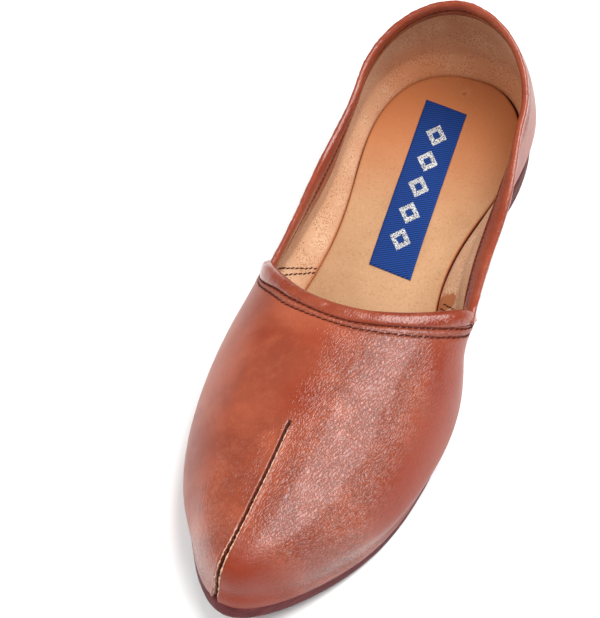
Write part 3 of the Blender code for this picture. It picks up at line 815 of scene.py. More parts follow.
def piece(name, points, faces, material, node=None, uv=None, paint=None):
    """A named piece of the shoe, in the solids' frame."""
    mesh = bpy.data.meshes.new(name)
    mesh.from_pydata((np.asarray(points).reshape(-1, 3) + SHIFT).tolist(), [], [tuple(f) for f in faces])
    mesh.materials.append(material)
    mesh.shade_smooth()
    if uv is not None:
        layer = mesh.uv_layers.new(name="laid")
        corners = np.array([loop.vertex_index for loop in mesh.loops])
        layer.data.foreach_set("uv", np.asarray(uv, float).reshape(-1, 2)[corners].ravel())
    for label, values in (paint or {}).items():
        layer = mesh.attributes.new(label, "FLOAT", "POINT")
        layer.data.foreach_set("value", np.asarray(values, np.float32).ravel())
    made = bpy.data.objects.new(name, mesh)
    bpy.context.scene.collection.objects.link(made)
    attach(made, "root")
    if node:
        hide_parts(node)
    return made


def grid_faces(columns, rows, closed=False, flip=False):
    i = np.arange(columns if closed else columns - 1)[:, None]
    j = np.arange(rows - 1)[None, :]
    here, there = i * rows + j, (i + 1) % columns * rows + j
    faces = np.stack([here, there, there + 1, here + 1], -1).reshape(-1, 4)
    return (faces[:, ::-1] if flip else faces).tolist()


def strip_faces(stations, ring):
    """Faces round a strip of rings, open at both ends."""
    return [(i * ring + j, i * ring + k, (i + 1) * ring + k, (i + 1) * ring + j)
            for i in range(stations - 1) for j in range(ring) for k in [(j + 1) % ring]]


def tube_faces(stations, ring, copies=1):
    """Faces of closed strips of the same kind, with their ends filled."""
    faces = strip_faces(stations, ring)
    faces += [tuple(reversed(range(ring))), tuple(range((stations - 1) * ring, stations * ring))]
    return [tuple(copy * stations * ring + k for k in face) for copy in range(copies) for face in faces]


def stacked_faces(levels, count):
    """Faces of stacked rings, with rungs across the bottom and the top. With an even count the first
    point of a ring stands alone at the toe's tip; with an odd one it has a partner."""
    last = count - count % 2
    rungs = [(k, k + 1, last - k - 1, last - k) for k in range(last // 2 - 1)]
    if last == count:
        rungs[0] = rungs[0][:3]
    rungs.append((last // 2 - 1, last // 2, last // 2 + 1))
    top = [tuple((levels - 1) * count + k for k in rung) for rung in rungs]
    return strip_faces(levels, count) + [rung[::-1] for rung in rungs] + top


def rounded(profile):
    """A closed outline with its corners cut twice, into curves."""
    for _ in range(2):
        after = np.roll(profile, -1, axis=-2)
        pair = np.stack([0.75 * profile + 0.25 * after, 0.25 * profile + 0.75 * after], -2)
        profile = pair.reshape(*profile.shape[:-2], -1, 2)
    return profile


def outlined(shape, count):
    """One outline in metres for each station of a strip, from pairs in millimetres: the depth below
    the edge and the distance outside the last. Each number is one for all stations or a line of them."""
    pairs = [np.stack(np.broadcast_arrays(*pair, np.zeros(count))[:2], -1) for pair in shape]
    return np.stack(pairs, 1) * MM


def along_edge(places, profile):
    """Points of a strip along the top edge, from an outline for each place."""
    top = np.zeros(1)
    depth, out = profile[..., 0], profile[..., 1]
    below, above = np.maximum(depth, 0), np.maximum(-depth, 0)
    edge = on_last(places + 0.001, top)[:, 0] - on_last(places - 0.001, top)[:, 0]
    up = unit(np.cross(outward(places, top)[:, 0], edge))
    return on_last(places, below) + outward(places, below) * out[..., None] + up[:, None] * above[..., None]


def both_sides(side):
    """Places from the inner side over the toe's middle to the outer side."""
    return np.concatenate([-side[:0:-1], side])


def round_heel(side):
    """Places from the outer side round the heel to the inner side."""
    return np.concatenate([side, 2 - side[-2::-1]])


def vamp_places():
    near = np.arange(0, 0.036, 0.0024)
    far = np.linspace(0.036, CORNER_PLACE - 0.0005, 150)
    return both_sides(np.concatenate([near, far]))


def seam_profile(across, along):
    """How far the toe seam lowers or lifts the leather at a distance across it."""
    width = 0.62 * MM * seam_spread(along)
    slit = -1.5 * MM * bell(across, width, 4)
    lips = 0.30 * MM * bell(np.abs(across) - 1.7 * width, 1.1 * MM)
    dish = -0.25 * MM * bell(across, 5 * MM)
    return (slit + lips + dish) * ease((SEAM_END - along) / 0.012)


def seam_spread(along):
    """The seam gapes wider towards the sole."""
    return 1.0 + 0.75 * ease((0.10 - along) / 0.10)


def outer_front(places):
    """One along the outer side's collar, fading out towards the heel and on the inner side."""
    turned = wrapped(places)
    return ease(turned / 0.02) * ease((0.90 - turned) / 0.12)


def collar_row(places):
    """Depth of the stitches below the collar's edge: nearer to it at the heel, lower on the outer side."""
    return (4.4 - 0.8 * ease((np.abs(wrapped(places)) - 0.84) / 0.10) + 2.4 * outer_front(places)) * MM


def above_rim(grid, reach):
    """One at the sole, fading out up the leather's side by that height above the sole's underside."""
    return ease((reach - (grid[..., 2] - under_height(grid[..., 1]))) / (8 * MM))


def leather_piece(name, grid, normal, wall, depth, leather, paint):
    """Leather at that distance from the last, drawn over the sole's rim and turned in under it."""
    points = tucked_over(grid + normal * wall[..., None], normal, depth)
    foot = points[:, :1] - normal[:, :1] * (1.4 * MM) - UP * 0.1 * MM
    paint = {label: np.concatenate([values[:, :1], values], 1) for label, values in paint.items()}
    # The foot, turned in under the rim, gets more dark paint: painted shade.
    paint["dark"][:, 0] += 0.5
    columns, rows = depth.shape
    return piece(name, np.concatenate([foot, points], 1), grid_faces(columns, rows + 1), leather,
                 "upper", paint=paint)


def vamp_wall(places, grid, normal, depth, rows, low_side):
    """Distance of the vamp's outer side from the last, with its seam, puckers, creases and rows."""
    first, second = rows
    rim = QUARTER_WALL + 0.1 * MM
    ball = grid + normal * VAMP_WALL
    along, off_seam = share(grid[..., 1]), beside_seam(grid)
    wall = rim + (VAMP_WALL - rim) * ease((depth - first + 2.1 * MM) / (1.6 * MM))
    wall = wall + seam_profile(off_seam, along) * ease((depth - 5 * MM) / (8 * MM))
    pucker = np.sin(grid[..., 1] / (0.42 * MM) + 1.5 * wander(grid[..., 1] * 90, 3) + off_seam * 120)
    pucker *= bell(np.abs(off_seam) - 3.2 * MM, 2.6 * MM) * ease((SEAM_END - along) / 0.03)
    wall = wall + 0.07 * MM * pucker * (1 - low_side)
    wall = wall - 0.20 * creased(ball) * ease((depth - second - 0.5 * MM) / (3 * MM))
    wall = wall + 0.12 * MM * drift(ball, 5, 0.030) * ease(depth / (14 * MM)) * (1 - low_side)
    for row in rows:
        wall = wall - 0.34 * MM * bell(depth - row, 0.65 * MM)
    wall = wall + (0.26 + 0.10 * drift(ball, 12, 0.0035)) * MM * between_rows(depth, rows)
    wall = wall + 0.12 * MM * bell(depth - second - 1.7 * MM, 0.9 * MM)
    wall = wall + vamp_flare(places)[:, None] * ease((20 * MM - depth) / (16 * MM))
    side_edge = np.sqrt(ease((CORNER_PLACE - np.abs(places)) / 0.010))[:, None]
    return rim - 0.4 * MM + (wall - rim + 0.4 * MM) * side_edge


def vamp_flare(places):
    """The vamp's corners stand out a little where they lap over the quarters."""
    return (1.7 * ease((places - 0.50) / 0.11) + 0.3 * ease((-places - 0.56) / 0.06)) * MM


def between_rows(depth, rows):
    first, second = rows
    return np.sin(np.clip((depth - first) / (second - first), 0, 1) * np.pi) ** 2


def make_vamp(leather):
    places = vamp_places()
    grid, depth = sheet(places, np.linspace(0, 1, 190) ** 0.96)
    normal = sheet_normals(grid)
    rows = [row_depth(places, name)[:, None] for name in ("first", "second")]
    first, second = rows
    low_side = above_rim(grid, VAMP_WALL + 6 * MM)
    wall = vamp_wall(places, grid, normal, depth, rows, low_side)
    along, off_seam = share(grid[..., 1]), beside_seam(grid)
    across = grid[..., 0] / (BALL_WIDTH / 2) + TOE_LEAN
    middle = 0.46 + 0.55 * (along - 0.27)
    lit = bell(across - middle, 0.40, 4) * bell(along - 0.25, 0.20, 6)
    near_seam = bell(across + 0.30, 0.20) * bell(along - 0.13, 0.10, 4)
    uneven = 0.10 * drift(grid + normal * VAMP_WALL, 17, 0.02)
    crinkle = np.clip(0.14 + 0.90 * lit + 0.50 * near_seam + uneven, 0, 1)
    crinkle = crinkle * (1 - ease((second - depth) / MM)) + 0.85 * between_rows(depth, rows)
    # The dark paint is painted shade: in the toe seam's slit, low on the toe's sides, in the grooves of the
    # stitch rows and under the rolled edge.
    slit = bell(off_seam, 0.62 * MM * seam_spread(along), 4) * (along < SEAM_END) * (depth > 4 * MM)
    low_toe = 0.22 * low_side * ease((0.16 - along) / 0.10)
    groove = sum(0.5 * bell(depth - row, 0.5 * MM) for row in rows)
    under_roll = 0.9 * ease((first - 0.3 * MM - depth) / (0.6 * MM))
    # The warm paint is painted shade, darker and warmer: low on the sides towards the toe, on the outer
    # side past the lit part, at the outer toe tip and in the shade spots.
    outer = ease((across - middle - 0.30) / 0.20)
    outer_toe = ease((0.085 - along) / 0.03) * (off_seam > 0)
    outer_tip = ease((0.085 - along) / 0.05) * (off_seam > 0)
    shade_spots = sum(spot.strength * bell(along - spot.along, spot.length)
                * bell(across - spot.across, spot.width) for spot in PAINTED_SHADE_SPOTS)
    return leather_piece("vamp", grid, normal, wall, depth, leather, {
        "crinkle": crinkle * (1 - 0.7 * low_side),
        "dark": np.clip(np.maximum.reduce([1.5 * slit, low_toe, groove, under_roll]), 0, 1.6),
        "warm": 0.9 * low_side * ease((0.30 - along) / 0.14) + 0.85 * outer + 0.9 * outer_tip + shade_spots,
        "dull": np.clip(outer + 0.9 * low_side + ease((-across - 0.45) / 0.25) + outer_toe, 0, 1)})


def make_quarters(leather):
    places = round_heel(np.concatenate([np.linspace(CORNER_PLACE - 0.02, CORNER_PLACE + 0.02, 24)[:-1],
                                        np.linspace(CORNER_PLACE + 0.02, 1, 170)]))
    shares = np.linspace(0, 1, 80) ** 0.95
    turned = wrapped(places)
    folded = np.where(np.abs(turned) < CORNER_PLACE, np.sign(turned) * (CORNER_PLACE + 0.0005), turned)
    grid, depth = sheet(folded, shares)
    normal = sheet_normals(grid)
    tuck = (CORNER_PLACE - np.abs(turned)) / 0.02
    for edge, ahead, level in ((slice(0, 23), unit(grid[24] - grid[30]), normal[26]),
                               (slice(-23, None), unit(grid[-25] - grid[-31]), normal[-27])):
        grid[edge] = grid[edge] + ahead * np.clip(tuck[edge], 0, 1)[:, None, None] * 5 * MM
        normal[edge] = level
    ball = grid + normal * QUARTER_WALL
    clear = ease((np.abs(turned) - CORNER_PLACE) / 0.03)[:, None]
    row = collar_row(places)[:, None]
    uneven = 0.20 * drift(ball, 21, 0.035) * ease(depth / (8 * MM)) * ease(shares / 0.2)
    puffed = 0.16 * bell(depth - row + 2 * MM, 1.2 * MM) - 0.20 * bell(depth - row, 0.6 * MM)
    rippled = 0.10 * drift(ball, 22, 0.006) * bell(depth - 9 * MM, 5 * MM)
    wall = QUARTER_WALL + (uneven + puffed + rippled) * MM * clear - 0.42 * MM * (1 - clear)
    # The dark paint is painted shade, near the sole and in the groove of the collar's stitch row.
    return leather_piece("quarters", grid, normal, wall, depth, leather, {
        "crinkle": 0.26 + 0.16 * drift(ball, 8, 0.03) + 0.3 * bell(depth - 7 * MM, 4 * MM),
        "dark": 0.18 * above_rim(grid, 8 * MM) + 0.30 * bell(depth - row, 0.5 * MM),
        "warm": 0.4 + 0.5 * drift(ball, 6, 0.05),
        "dull": np.full(depth.shape, 0.7)})


def make_lining(nap):
    places, shares = all_round(189), np.linspace(0, 1, 60)
    grid, depth = sheet(places, shares)
    normal = sheet_normals(np.concatenate([grid[-1:], grid, grid[:1]]))[1:-1]
    inward = 0.06 * MM + 0.18 * MM * (drift(grid, 31, 0.022) + 1) * ease(depth / 0.006)
    along, outer = share(grid[..., 1]), grid[..., 0] > 0
    low = (grid[..., 2] - under_height(grid[..., 1])) / MM
    spot = bell(along - 0.580, 0.013) * bell(low - 9.5, 5)
    trail = bell(along - 0.60, 0.045) * bell(low - 12, 5)
    hem = bell(low - 7.5, 2.2) * bell(along - 0.70, 0.13)
    back = bell(along - 0.965, 0.05)
    stain = np.where(outer, 0.85 * spot + 0.36 * trail + 0.50 * hem, 0.22 * trail)
    stain = stain + 0.24 * back * ease((low - 30) / 20)
    # Painted shade: darker low at the back, far forward towards the toe and along the bottom edge above the
    # insole.
    dark = 0.55 * back * ease((30 - low) / 20) + 0.9 * ease((0.47 - along) / 0.05)
    dark = np.clip(np.maximum(dark, 0.75 * ease((7.2 - low) / 1.2)), 0, 1)
    faces = grid_faces(len(places), len(shares), closed=True, flip=True)
    return piece("suede_lining", grid - normal * inward[..., None], faces, nap, "upper",
                 paint={"stain": stain, "dark": dark})


def make_throat_roll(leather):
    """The rolled fold along the vamp's rear edge. Its ends lap over the quarters' outer sides."""
    places = both_sides(np.concatenate([np.linspace(0, 0.56, 110)[:-1],
                                        np.linspace(0.56, CORNER_PLACE - 0.004, 26)]))
    lift = row_depth(places, "lift")
    # How far the roll reaches down the vamp, in millimetres, and how full it is
    w = (row_depth(places, "first") + lift) / MM - 0.45 + 0.12 * wander(places * 6, 11)
    f = 1 + 0.05 * wander(places * 9, 12) + 0.10 * ease((places - 0.45) / 0.15)
    outer = ((w + 0.25, 2.45 * f), (w + 0.1, 3.1 * f), (w * 0.80, 3.75 * f), (w * 0.45, 4.10 * f),
             (w * 0.05, 4.0 * f), (-0.9, 3.4 * f), (-1.75, 2.2 * f), (-1.95, 0.9 * f))
    inner = ((-1.5, -0.5), (-0.3, -1.45), (w * 0.5, -1.55), (w, -1.35), (w, -0.4), (w * 0.3, -0.3),
             (-0.5, 0.1), (-0.6, 1.5), (w * 0.3, 2.15))
    shut_inner = ((-1.5, 0.5), (-0.9, 0.6), (0.3, 0.9), (1.2, 1.2), (2.0, 1.5), (2.6, 1.7), (3.1, 1.8),
                  (3.5, 1.9), (3.9, 2.1))
    shut = ease((np.abs(places) - 0.585) / 0.035)[:, None, None]
    open_part, shut_part = (outlined(part, len(places)) for part in (inner, shut_inner))
    outline = np.concatenate([outlined(outer, len(places)), open_part * (1 - shut) + shut_part * shut], 1)
    outline[..., 0] -= lift[:, None]
    points = carried_on(along_edge(places, rounded(outline)), 3, lapping)
    stations, ring = points.shape[:2]
    run = np.linspace(-1, 1, stations)[:, None]
    # The dark paint is painted shade along the roll's underside, where it sits on the vamp.
    dark = np.full((stations, ring), 0.05)
    dark[:, :3] = dark[:, -4:] = 0.40
    crinkle = 0.25 + 0.25 * bell(np.abs(run) - 0.45, 0.25) + 0 * dark
    warm = 0.5 + 0.5 * wander(run * 5 + np.linspace(0, 2, ring), 19)
    return piece("throat_roll", points[::-1], tube_faces(stations, ring), leather,
                 "throat_binding", paint={"crinkle": crinkle, "dark": dark, "warm": warm})


def carried_on(points, inner, more):
    """A strip with more rings past both ends, made from the end ring and the direction it runs in."""
    made = [points]
    for end, before in ((0, inner), (-1, -1 - inner)):
        ring = points[end]
        extra = more(ring, unit(ring.mean(0) - points[before].mean(0)))
        made = [extra[::-1], *made] if end == 0 else [*made, extra]
    return np.concatenate(made)


def lapping(ring, way):
    """Rings that curl down a little and close to a rounded nub."""
    turn = np.linspace(0, np.pi / 2, 13)[1:, None, None]
    s, size = np.sin(turn), np.maximum(np.maximum(np.cos(turn), 0) ** 0.75, 0.03)
    middle = ring.mean(0)
    return middle + (ring - middle) * size + way * 4.6 * MM * s - UP * 0.5 * MM * s * s


def tucking(ring, way):
    """Rings that run on straight ahead, in under the vamp."""
    steps = np.linspace(0, 1, 9)[1:, None, None]
    return ring + way * 7 * MM * steps - UP * MM * steps


def make_collar_band(leather):
    """The folded edge of the quarters: over the rim and down inside as a wide flat band."""
    places = round_heel(np.linspace(CORNER_PLACE + 0.0035, 1, 190))
    a = np.linspace(-1, 1, len(places))
    # The band's width and the depth of its stitches, in millimetres
    w = BAND_WIDTH / MM * (1 + 0.02 * wander(a * 9, 14)) - 2.0 * outer_front(places)
    row = collar_row(places) / MM
    wave, crest = 0.10 * wander(a * 26, 15), 0.10 * wander(a * 60, 16)
    shape = (
        (2.7, 1.50), (2.4, 1.80), (1.2, 2.02), (0.0, 2.12 + crest), (-0.8, 2.0 + crest),
        (-1.35 + crest, 1.45), (-1.35 + crest, 0.75), (-1.0, 0.0), (-0.3, -0.55 + wave),
        (0.9, -0.95 + wave), (row - 1.1, -1.15 + wave), (row - 0.5, -0.85), (row + 0.5, -0.85),
        (np.minimum(row + 1.1, w - 1.1), -1.15 - wave), (w * 0.4 + row * 0.6, -1.10 - wave),
        (w - 0.5, -1.05), (w, -0.75), (w, -0.2), (w * 0.5, -0.15), (1.0, 0.15), (1.0, 1.3))
    profile = rounded(outlined(shape, len(places)))
    points = carried_on(along_edge(places, profile), 4, tucking)
    stations, ring = points.shape[:2]
    every = np.zeros((stations, ring))
    around = np.linspace(0, 1, ring, endpoint=False)
    inside = ease((around - 0.40) / 0.08)
    # The dark paint is painted shade on the band's inside face and in the groove of its stitch row; the
    # warm paint makes the inside face darker and warmer, also painted shade.
    return piece("collar_band", points[::-1], tube_faces(stations, ring), leather,
                 "collar_binding", paint={
                     "crinkle": 0.32 + 0.2 * wander(np.linspace(0, 20, stations), 3)[:, None] + every,
                     "dark": 0.04 + 0.22 * inside + 0.35 * bell(around - 0.555, 0.02) + every,
                     "warm": 0.4 + 0.6 * inside + every})


def make_sole(edge_finish):
    places = all_round(170)
    rings = []
    for out, up in ((-1.6, 0.0), (-0.7, 0.01), (-0.25, 0.07), (0, 0.2), (0.12, 0.45), (0.05, 0.62),
                    (-0.05, 0.8), (-0.35, 0.94), (-0.9, 1.0), (-2.5, 1.0)):
        ripple = 0.05 * MM * wander(places * 40, int(up * 10)) if 0.05 < up < 0.95 else 0 * places
        rings.append(raised(moved_edge(places, out * SOLE_EDGE_ROUND + ripple), SOLE_THICKNESS * up))
    faces = stacked_faces(len(rings), len(places))
    return piece("sole", np.concatenate(rings), faces, edge_finish, "outsole")


def make_heel(edge_finish):
    start = HEEL_ROUND_PLACE * (LIFT_START / HEEL_ROUND_START) ** 0.5
    places = round_heel(np.linspace(start, 1, 60))
    rings = []
    for out, up in ((-1.5, 0.0), (-0.6, 0.02), (-0.1, 0.12), (0, 0.3), (0, 0.45), (-0.2, 0.5),
                    (0, 0.55), (0, 0.92), (-0.2, 1.0)):
        plan = moved_edge(places, out * SOLE_EDGE_ROUND - LIFT_INSET + 0 * places)
        rings.append(np.column_stack([plan, np.full(len(plan), (HEEL_HEIGHT - SEAT_GAP) * up)]))
    faces = stacked_faces(len(rings), len(places))
    return piece("heel_stack", np.concatenate(rings), faces, edge_finish, "heel_lift")


def make_footbed(board):
    places = all_round(120)
    gap = 0.8 * MM * bell(places - 0.90, 0.06) + 0.5 * MM * bell(places - 0.73, 0.05)
    inset = SOLE_MARGIN + VAMP_WALL + INSOLE_GAP + gap - 0.12 * MM * wander(places * 17, 6)
    edge = ((0.0, 0.0, 1.0), (0.0, 0.55, 1.0), (0.12, 0.80, 0.8), (0.45, 0.97, 0.25), (1.2, 1.02, 0.05),
            (2.6, 0.99, 0.0), (5.0, 0.96, 0.0), (9.0, 0.95, 0.0))
    points = np.concatenate([raised(moved_edge(places, -inset - inward * MM),
                                    SOLE_THICKNESS + SEAT_GAP + INSOLE_THICKNESS * up)
                             for inward, up, _ in edge])
    along = share(points[:, 1])
    # Painted shade: darker at the board's edge, towards the heel and towards the toe.
    dark = np.maximum.reduce([np.repeat([shade for *_, shade in edge], len(places)),
                              0.80 * ease((along - 0.68) / 0.24), 0.8 * ease((0.45 - along) / 0.10)])
    return piece("footbed", points, stacked_faces(len(edge), len(places)), board,
                 "insole", paint={"dark": dark})


def make_ribbon(cloth):
    rows, columns = 150, 34
    centre = np.array([LABEL_SHIFT * BALL_WIDTH, (LABEL_CENTRE - 0.5) * SOLE_LENGTH])
    v, u = np.meshgrid(np.linspace(-0.5, 0.5, rows) * LABEL_LENGTH,
                       np.linspace(-0.5, 0.5, columns) * LABEL_WIDTH, indexing="ij")
    askew = v - 0.22 * u
    x = centre[0] + u * np.cos(LABEL_TURN) - askew * np.sin(LABEL_TURN)
    y = centre[1] + u * np.sin(LABEL_TURN) + askew * np.cos(LABEL_TURN)
    rim = np.minimum(LABEL_WIDTH / 2 - np.abs(u), LABEL_LENGTH / 2 - np.abs(v))
    lift = 0.78 * MM - 0.5 * MM * ease((0.5 * MM - rim) / (0.5 * MM))
    lift = lift + 0.05 * MM * np.sin(v / (3.1 * MM)) * np.cos(u / (3.6 * MM))
    lift = lift + 0.12 * MM * drift(np.stack([x, y, 0 * x], -1), 4, 0.02)
    base = SOLE_THICKNESS + SEAT_GAP + INSOLE_THICKNESS
    top = np.stack([x, y, under_height(y) + base + lift], -1)
    return piece("twill_label", top, grid_faces(rows, columns, flip=True), cloth,
                 "insole_label", uv=np.stack([u, v], -1))


def picked(at, known, field):
    """Points or directions read between the known ones of a line."""
    return np.stack([np.interp(at, known, field[:, k]) for k in range(3)], -1)


def spaced(line, normals, spacing):
    """Evenly spaced points on a line, with the directions along it and out from it."""
    run = travelled(line[None])[0]
    at = np.arange(spacing / 2, run[-1], spacing)
    points, out = picked(at, run, line), unit(picked(at, run, normals))
    way = np.gradient(points, axis=0)
    return points, unit(way - out * (way * out).sum(-1, keepdims=True)), out


def sewn(name, line, normals, stitch, material, seed):
    """A row of stitches along a line, each a short bowed thread with its ends let in."""
    spacing, length, thick, rise = (size * MM for size in stitch[:4])
    points, way, out = spaced(line, normals, spacing)
    made = np.random.RandomState(seed)
    turn = stitch.slant + 0.08 * made.randn(len(points))[:, None]
    side = np.cross(out, way)
    way = unit(way * np.cos(turn) + side * np.sin(turn))
    points = points + side * 0.06 * MM * made.randn(len(points))[:, None]
    along, angle = np.linspace(-1, 1, 7)[:, None], np.arange(6)[:, None] / 6 * 2 * np.pi
    points, way, out = (field[:, None] for field in (points, way, out))
    middle = points + way * along * length / 2 + out * rise * (1 - 1.5 * along**2)
    ring = np.cross(out, way) * np.cos(angle) + out * np.sin(angle) * 0.85
    radius = (thick / 2 * (1 - 0.55 * along**4))[..., None]
    mesh = middle[:, :, None] + ring[:, None] * radius
    return piece(name, mesh, tube_faces(7, 6, copies=len(mesh)), material)


def sewn_on_last(name, places, depths, out, stitch, material, seed, inside=False):
    """A row of stitches at depths below the top edge, standing that far out from the last."""
    depths = depths[:, None]
    base, normal = on_last(places, depths)[:, 0], outward(places, depths)[:, 0]
    line = base + normal * np.expand_dims(out, -1)
    return sewn(name, line, -normal if inside else normal, stitch, material, seed)


def make_stitching(dark_thread, tone_thread):
    places = np.linspace(-0.60, CORNER_PLACE - 0.008, 300)
    flare = 1.7 * MM * ease((places - 0.50) / 0.11)
    for name, seed in (("first", 1), ("second", 2)):
        depths = row_depth(places, name)
        out = VAMP_WALL - 0.20 * MM + flare * ease((20 * MM - depths) / (16 * MM))
        sewn_on_last(f"vamp_{name}_stitch_row", places, depths, out, ROW_STITCH, dark_thread,
                     seed)
    places = round_heel(np.linspace(CORNER_PLACE + 0.012, 1, 260))
    sewn_on_last("collar_inside_stitches", places, collar_row(places), -0.88 * MM, COLLAR_STITCH,
                 dark_thread, 3, inside=True)
    sewn_on_last("collar_outside_stitches", places, collar_row(places), QUARTER_WALL - 0.10 * MM,
                 COLLAR_BACK_STITCH, tone_thread, 4)


def make_corner_stitching(dark_thread):
    """Pairs of rows across the lining, inside both corners, that hold the vamp to the quarters."""
    for name, place0, depth0, place1, depth1 in CORNER_ROWS:
        places, depths = np.linspace(place0, place1, 40), np.linspace(depth0, depth1, 40) * MM
        sewn_on_last(name + "_stitches", places, depths, -0.36 * MM, CORNER_STITCH, dark_thread,
                     7, inside=True)


def make_side_seams(dark_thread):
    """The vamp's side edges are sewn down to the quarters, from the roll to the sole."""
    for side, name in ((-1, "inner"), (1, "outer")):
        sewn_on_last(f"{name}_side_seam_stitches", np.full(90, side * (CORNER_PLACE - 0.014)),
                     np.linspace(11 * MM, 33 * MM, 90), VAMP_WALL - 0.1 * MM, SIDE_STITCH,
                     dark_thread, 17)


def toe_line(count):
    """The toe seam's line on the last, up from the sole, with its outward directions."""
    grid, _ = sheet(np.linspace(-0.26, 0.10, 180), np.linspace(0.008, 1, 300))
    off, columns = beside_seam(grid), np.arange(len(grid))
    at = [np.interp(0, off[:, j], columns) for j in range(off.shape[1])]
    line, out = (np.array([picked(i, columns, field[:, j]) for j, i in enumerate(at)])
                 for field in (grid, sheet_normals(grid)))
    keep = share(line[:, 1]) < SEAM_END - 0.003
    run = travelled(line[keep][None])[0]
    even = np.linspace(0, run[-1], count)
    return picked(even, run, line[keep]), unit(picked(even, run, out[keep]))


def make_toe_seam(dark_thread, cut_edge):
    count = 240
    line, normal = toe_line(count)
    along = np.linspace(0, 1, count)[:, None]
    across = unit(np.cross(np.gradient(line, axis=0), normal))
    across = across * np.sign(across[:, :1])
    spread = seam_spread(share(line[:, 1]))[:, None]
    left = line + normal * (VAMP_WALL - 0.80 * MM) - across * 0.26 * MM * spread
    sewn("toe_seam_stitches", left, normal, TOE_STITCH, dark_thread, 21)
    right = (line + normal * (VAMP_WALL - 0.90 * MM) + across * 0.30 * MM * spread)[:150]
    sewn("toe_seam_back_stitches", right, normal[:150], TOE_BACK_STITCH, dark_thread,
         22)
    angle = np.arange(8)[:, None] / 8 * 2 * np.pi
    for name, side, last, size, seed in (("right", 1, count, 1.0, 23), ("left", -1, 96, 0.75, 27)):
        rough = 0.14 * MM * wander(along * 130, seed) * (along > 0)
        patchy = 0.70 + 0.50 * wander(along * 60, seed + 1)
        thick = 0.37 * MM * size * spread**0.6 * patchy.clip(0.15, 1.3) * ease(along / 0.01 + 0.4)
        thick = thick * ease((last / count + 0.002 - along) / 0.06) + 0.02 * MM
        middle = line + normal * (VAMP_WALL - 0.10 * MM + rough)
        middle = middle + across * side * (0.80 * MM * spread + rough * 0.8)
        ring = across[:, None] * np.cos(angle) * 0.75 + normal[:, None] * np.sin(angle)
        points = (middle[:, None] + ring * thick[:, None])[:last]
        piece(f"toe_seam_{name}_cut_edge", points[::-1], tube_faces(last, 8), cut_edge)
    fibres(line, normal, across, spread, cut_edge)


def fibres(line, normal, across, spread, cut_edge):
    """A few frayed ends standing off the cut edge."""
    points = []
    for at, side, length, curl in FIBRES:
        i = int(at * (len(line) - 1))
        start = line[i] + normal[i] * VAMP_WALL + across[i] * side * 0.9 * MM * spread[i]
        along = unit(line[min(i + 1, len(line) - 1)] - line[i - 1])
        for s in np.linspace(0, 1, 6):
            way = across[i] * np.sign(side) * np.cos(curl * s) + along * np.sin(curl * s)
            place = start + way * length * 0.6 * MM * s + normal[i] * 0.45 * MM * np.sin(s * 2.2)
            size = 0.11 * MM * (1 - 0.6 * s)
            points += [place + along * size * np.cos(turn) + normal[i] * size * np.sin(turn)
                       for turn in np.arange(4) / 4 * 2 * np.pi]
    piece("frayed_fibres", points, tube_faces(6, 4, copies=len(FIBRES)), cut_edge)


def make_floor():
    finish = Finish("pale_floor", Roughness=0.9, Specular_IOR_Level=0.1)
    shade = finish.mix(finish.noise(finish.where(), 0.4, 2), (0.90, 0.90, 0.90), (0.93, 0.93, 0.93))
    finish.join(finish.shader.inputs["Base Color"], shade)
    mesh = bpy.data.meshes.new("floor")
    size = 6.0
    corners = [(-size, -size, 0), (size, -size, 0), (size, size, 0), (-size, size, 0)]
    mesh.from_pydata(corners, [], [(0, 1, 2, 3)])
    mesh.materials.append(finish.material)
    floor = bpy.data.objects.new("floor", mesh)
    bpy.context.scene.collection.objects.link(floor)
    floor.location.z = -0.0002


def lamp(name, place, towards, size, power, gloss=False):
    """A soft box. Only the key lamp is mirrored in the leather."""
    data = bpy.data.lights.new(name, "AREA")
    data.shape = "RECTANGLE"
    data.size, data.size_y = size
    data.energy = power
    made = bpy.data.objects.new(name, data)
    bpy.context.scene.collection.objects.link(made)
    made.location = place
    made.rotation_mode = "QUATERNION"
    made.rotation_quaternion = (Vector(towards) - Vector(place)).to_track_quat("-Z", "Y")
    made.visible_glossy = gloss


def make_lights():
    world = bpy.data.worlds.new("studio")
    bpy.context.scene.world = world
    world.use_nodes = True
    back = world.node_tree.nodes["Background"]
    back.inputs[0].default_value = (1, 1, 1, 1)
    back.inputs[1].default_value = 0.22
    lamp("key", place=(0.500, 0.08, 1.035), towards=(0, -0.05, 0.03), size=(1.22, 0.82), power=23.5,
         gloss=True)
    lamp("fill", place=(-1.05, -0.45, 0.95), towards=(0, 0, 0.03), size=(1.2, 1.0), power=12)
    lamp("front", place=(-0.10, -0.95, 1.15), towards=(0, 0.05, 0.02), size=(0.8, 0.7), power=6)


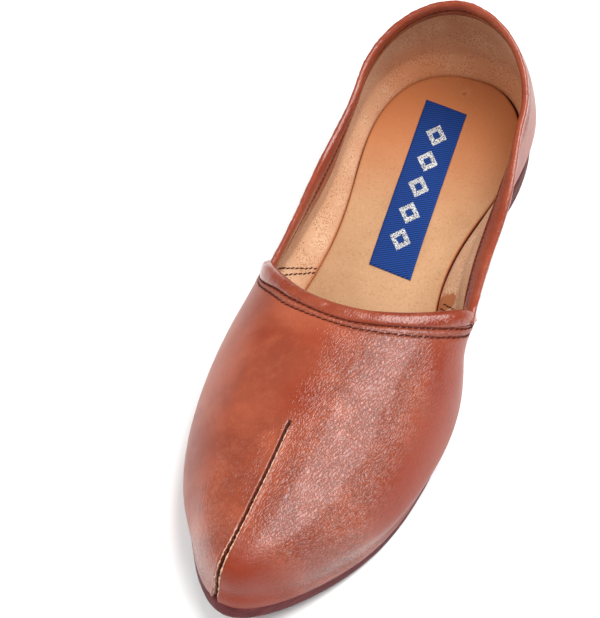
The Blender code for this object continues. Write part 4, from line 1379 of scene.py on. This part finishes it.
# The camera was fitted to the outlines of the shoe in the photo.
PHOTO_HEIGHT = 618
FOCAL_PIXELS = 4210


def make_camera():
    azimuth, elevation, roll = np.radians([23.5, 52.1, -5.95])
    level = np.array([np.cos(azimuth), np.sin(azimuth), 0])
    flat_back = np.array([np.sin(azimuth), -np.cos(azimuth), 0])
    back = flat_back * np.cos(elevation) + UP * np.sin(elevation)
    upright = np.cross(back, level)
    right = np.cos(roll) * level + np.sin(roll) * upright
    up = -np.sin(roll) * level + np.cos(roll) * upright
    aim = np.array([0, -0.003, 0.025]) + SHIFT
    data = bpy.data.cameras.new("camera")
    data.sensor_width = 36
    data.lens = data.sensor_width * FOCAL_PIXELS / PHOTO_HEIGHT
    data.clip_start, data.clip_end = 0.05, 30
    camera = bpy.data.objects.new("camera", data)
    bpy.context.scene.collection.objects.link(camera)
    turn = Matrix([right.tolist(), up.tolist(), back.tolist()]).transposed().to_4x4()
    turn.translation = Vector(aim + back * 1.612 - right * 0.02335 + up * 0.00387)
    camera.matrix_world = turn
    bpy.context.scene.camera = camera


tan_leather = grained_leather("tan_leather", (0.215, 0.040, 0.018), (0.312, 0.070, 0.032))
fold_leather = grained_leather("fold_leather", (0.220, 0.040, 0.018), (0.315, 0.070, 0.032))
lining_suede = suede("lining_suede")
insole_board = leatherboard("insole_board")
waxed_sole = stacked_edge("waxed_sole")
brown_thread = thread("brown_thread", (0.042, 0.007, 0.004))
tan_thread = thread("tan_thread", (0.110, 0.026, 0.014))
cut_leather = raw_edge("cut_leather")
blue_twill = twill("blue_twill")

make_vamp(tan_leather)
make_quarters(tan_leather)
make_lining(lining_suede)
make_throat_roll(fold_leather)
make_collar_band(fold_leather)
make_sole(waxed_sole)
make_heel(waxed_sole)
make_footbed(insole_board)
make_ribbon(blue_twill)
make_stitching(brown_thread, tan_thread)
make_corner_stitching(brown_thread)
make_side_seams(brown_thread)
make_toe_seam(brown_thread, cut_leather)
make_floor()
make_lights()
make_camera()
bpy.context.scene.view_settings.view_transform = "Standard"
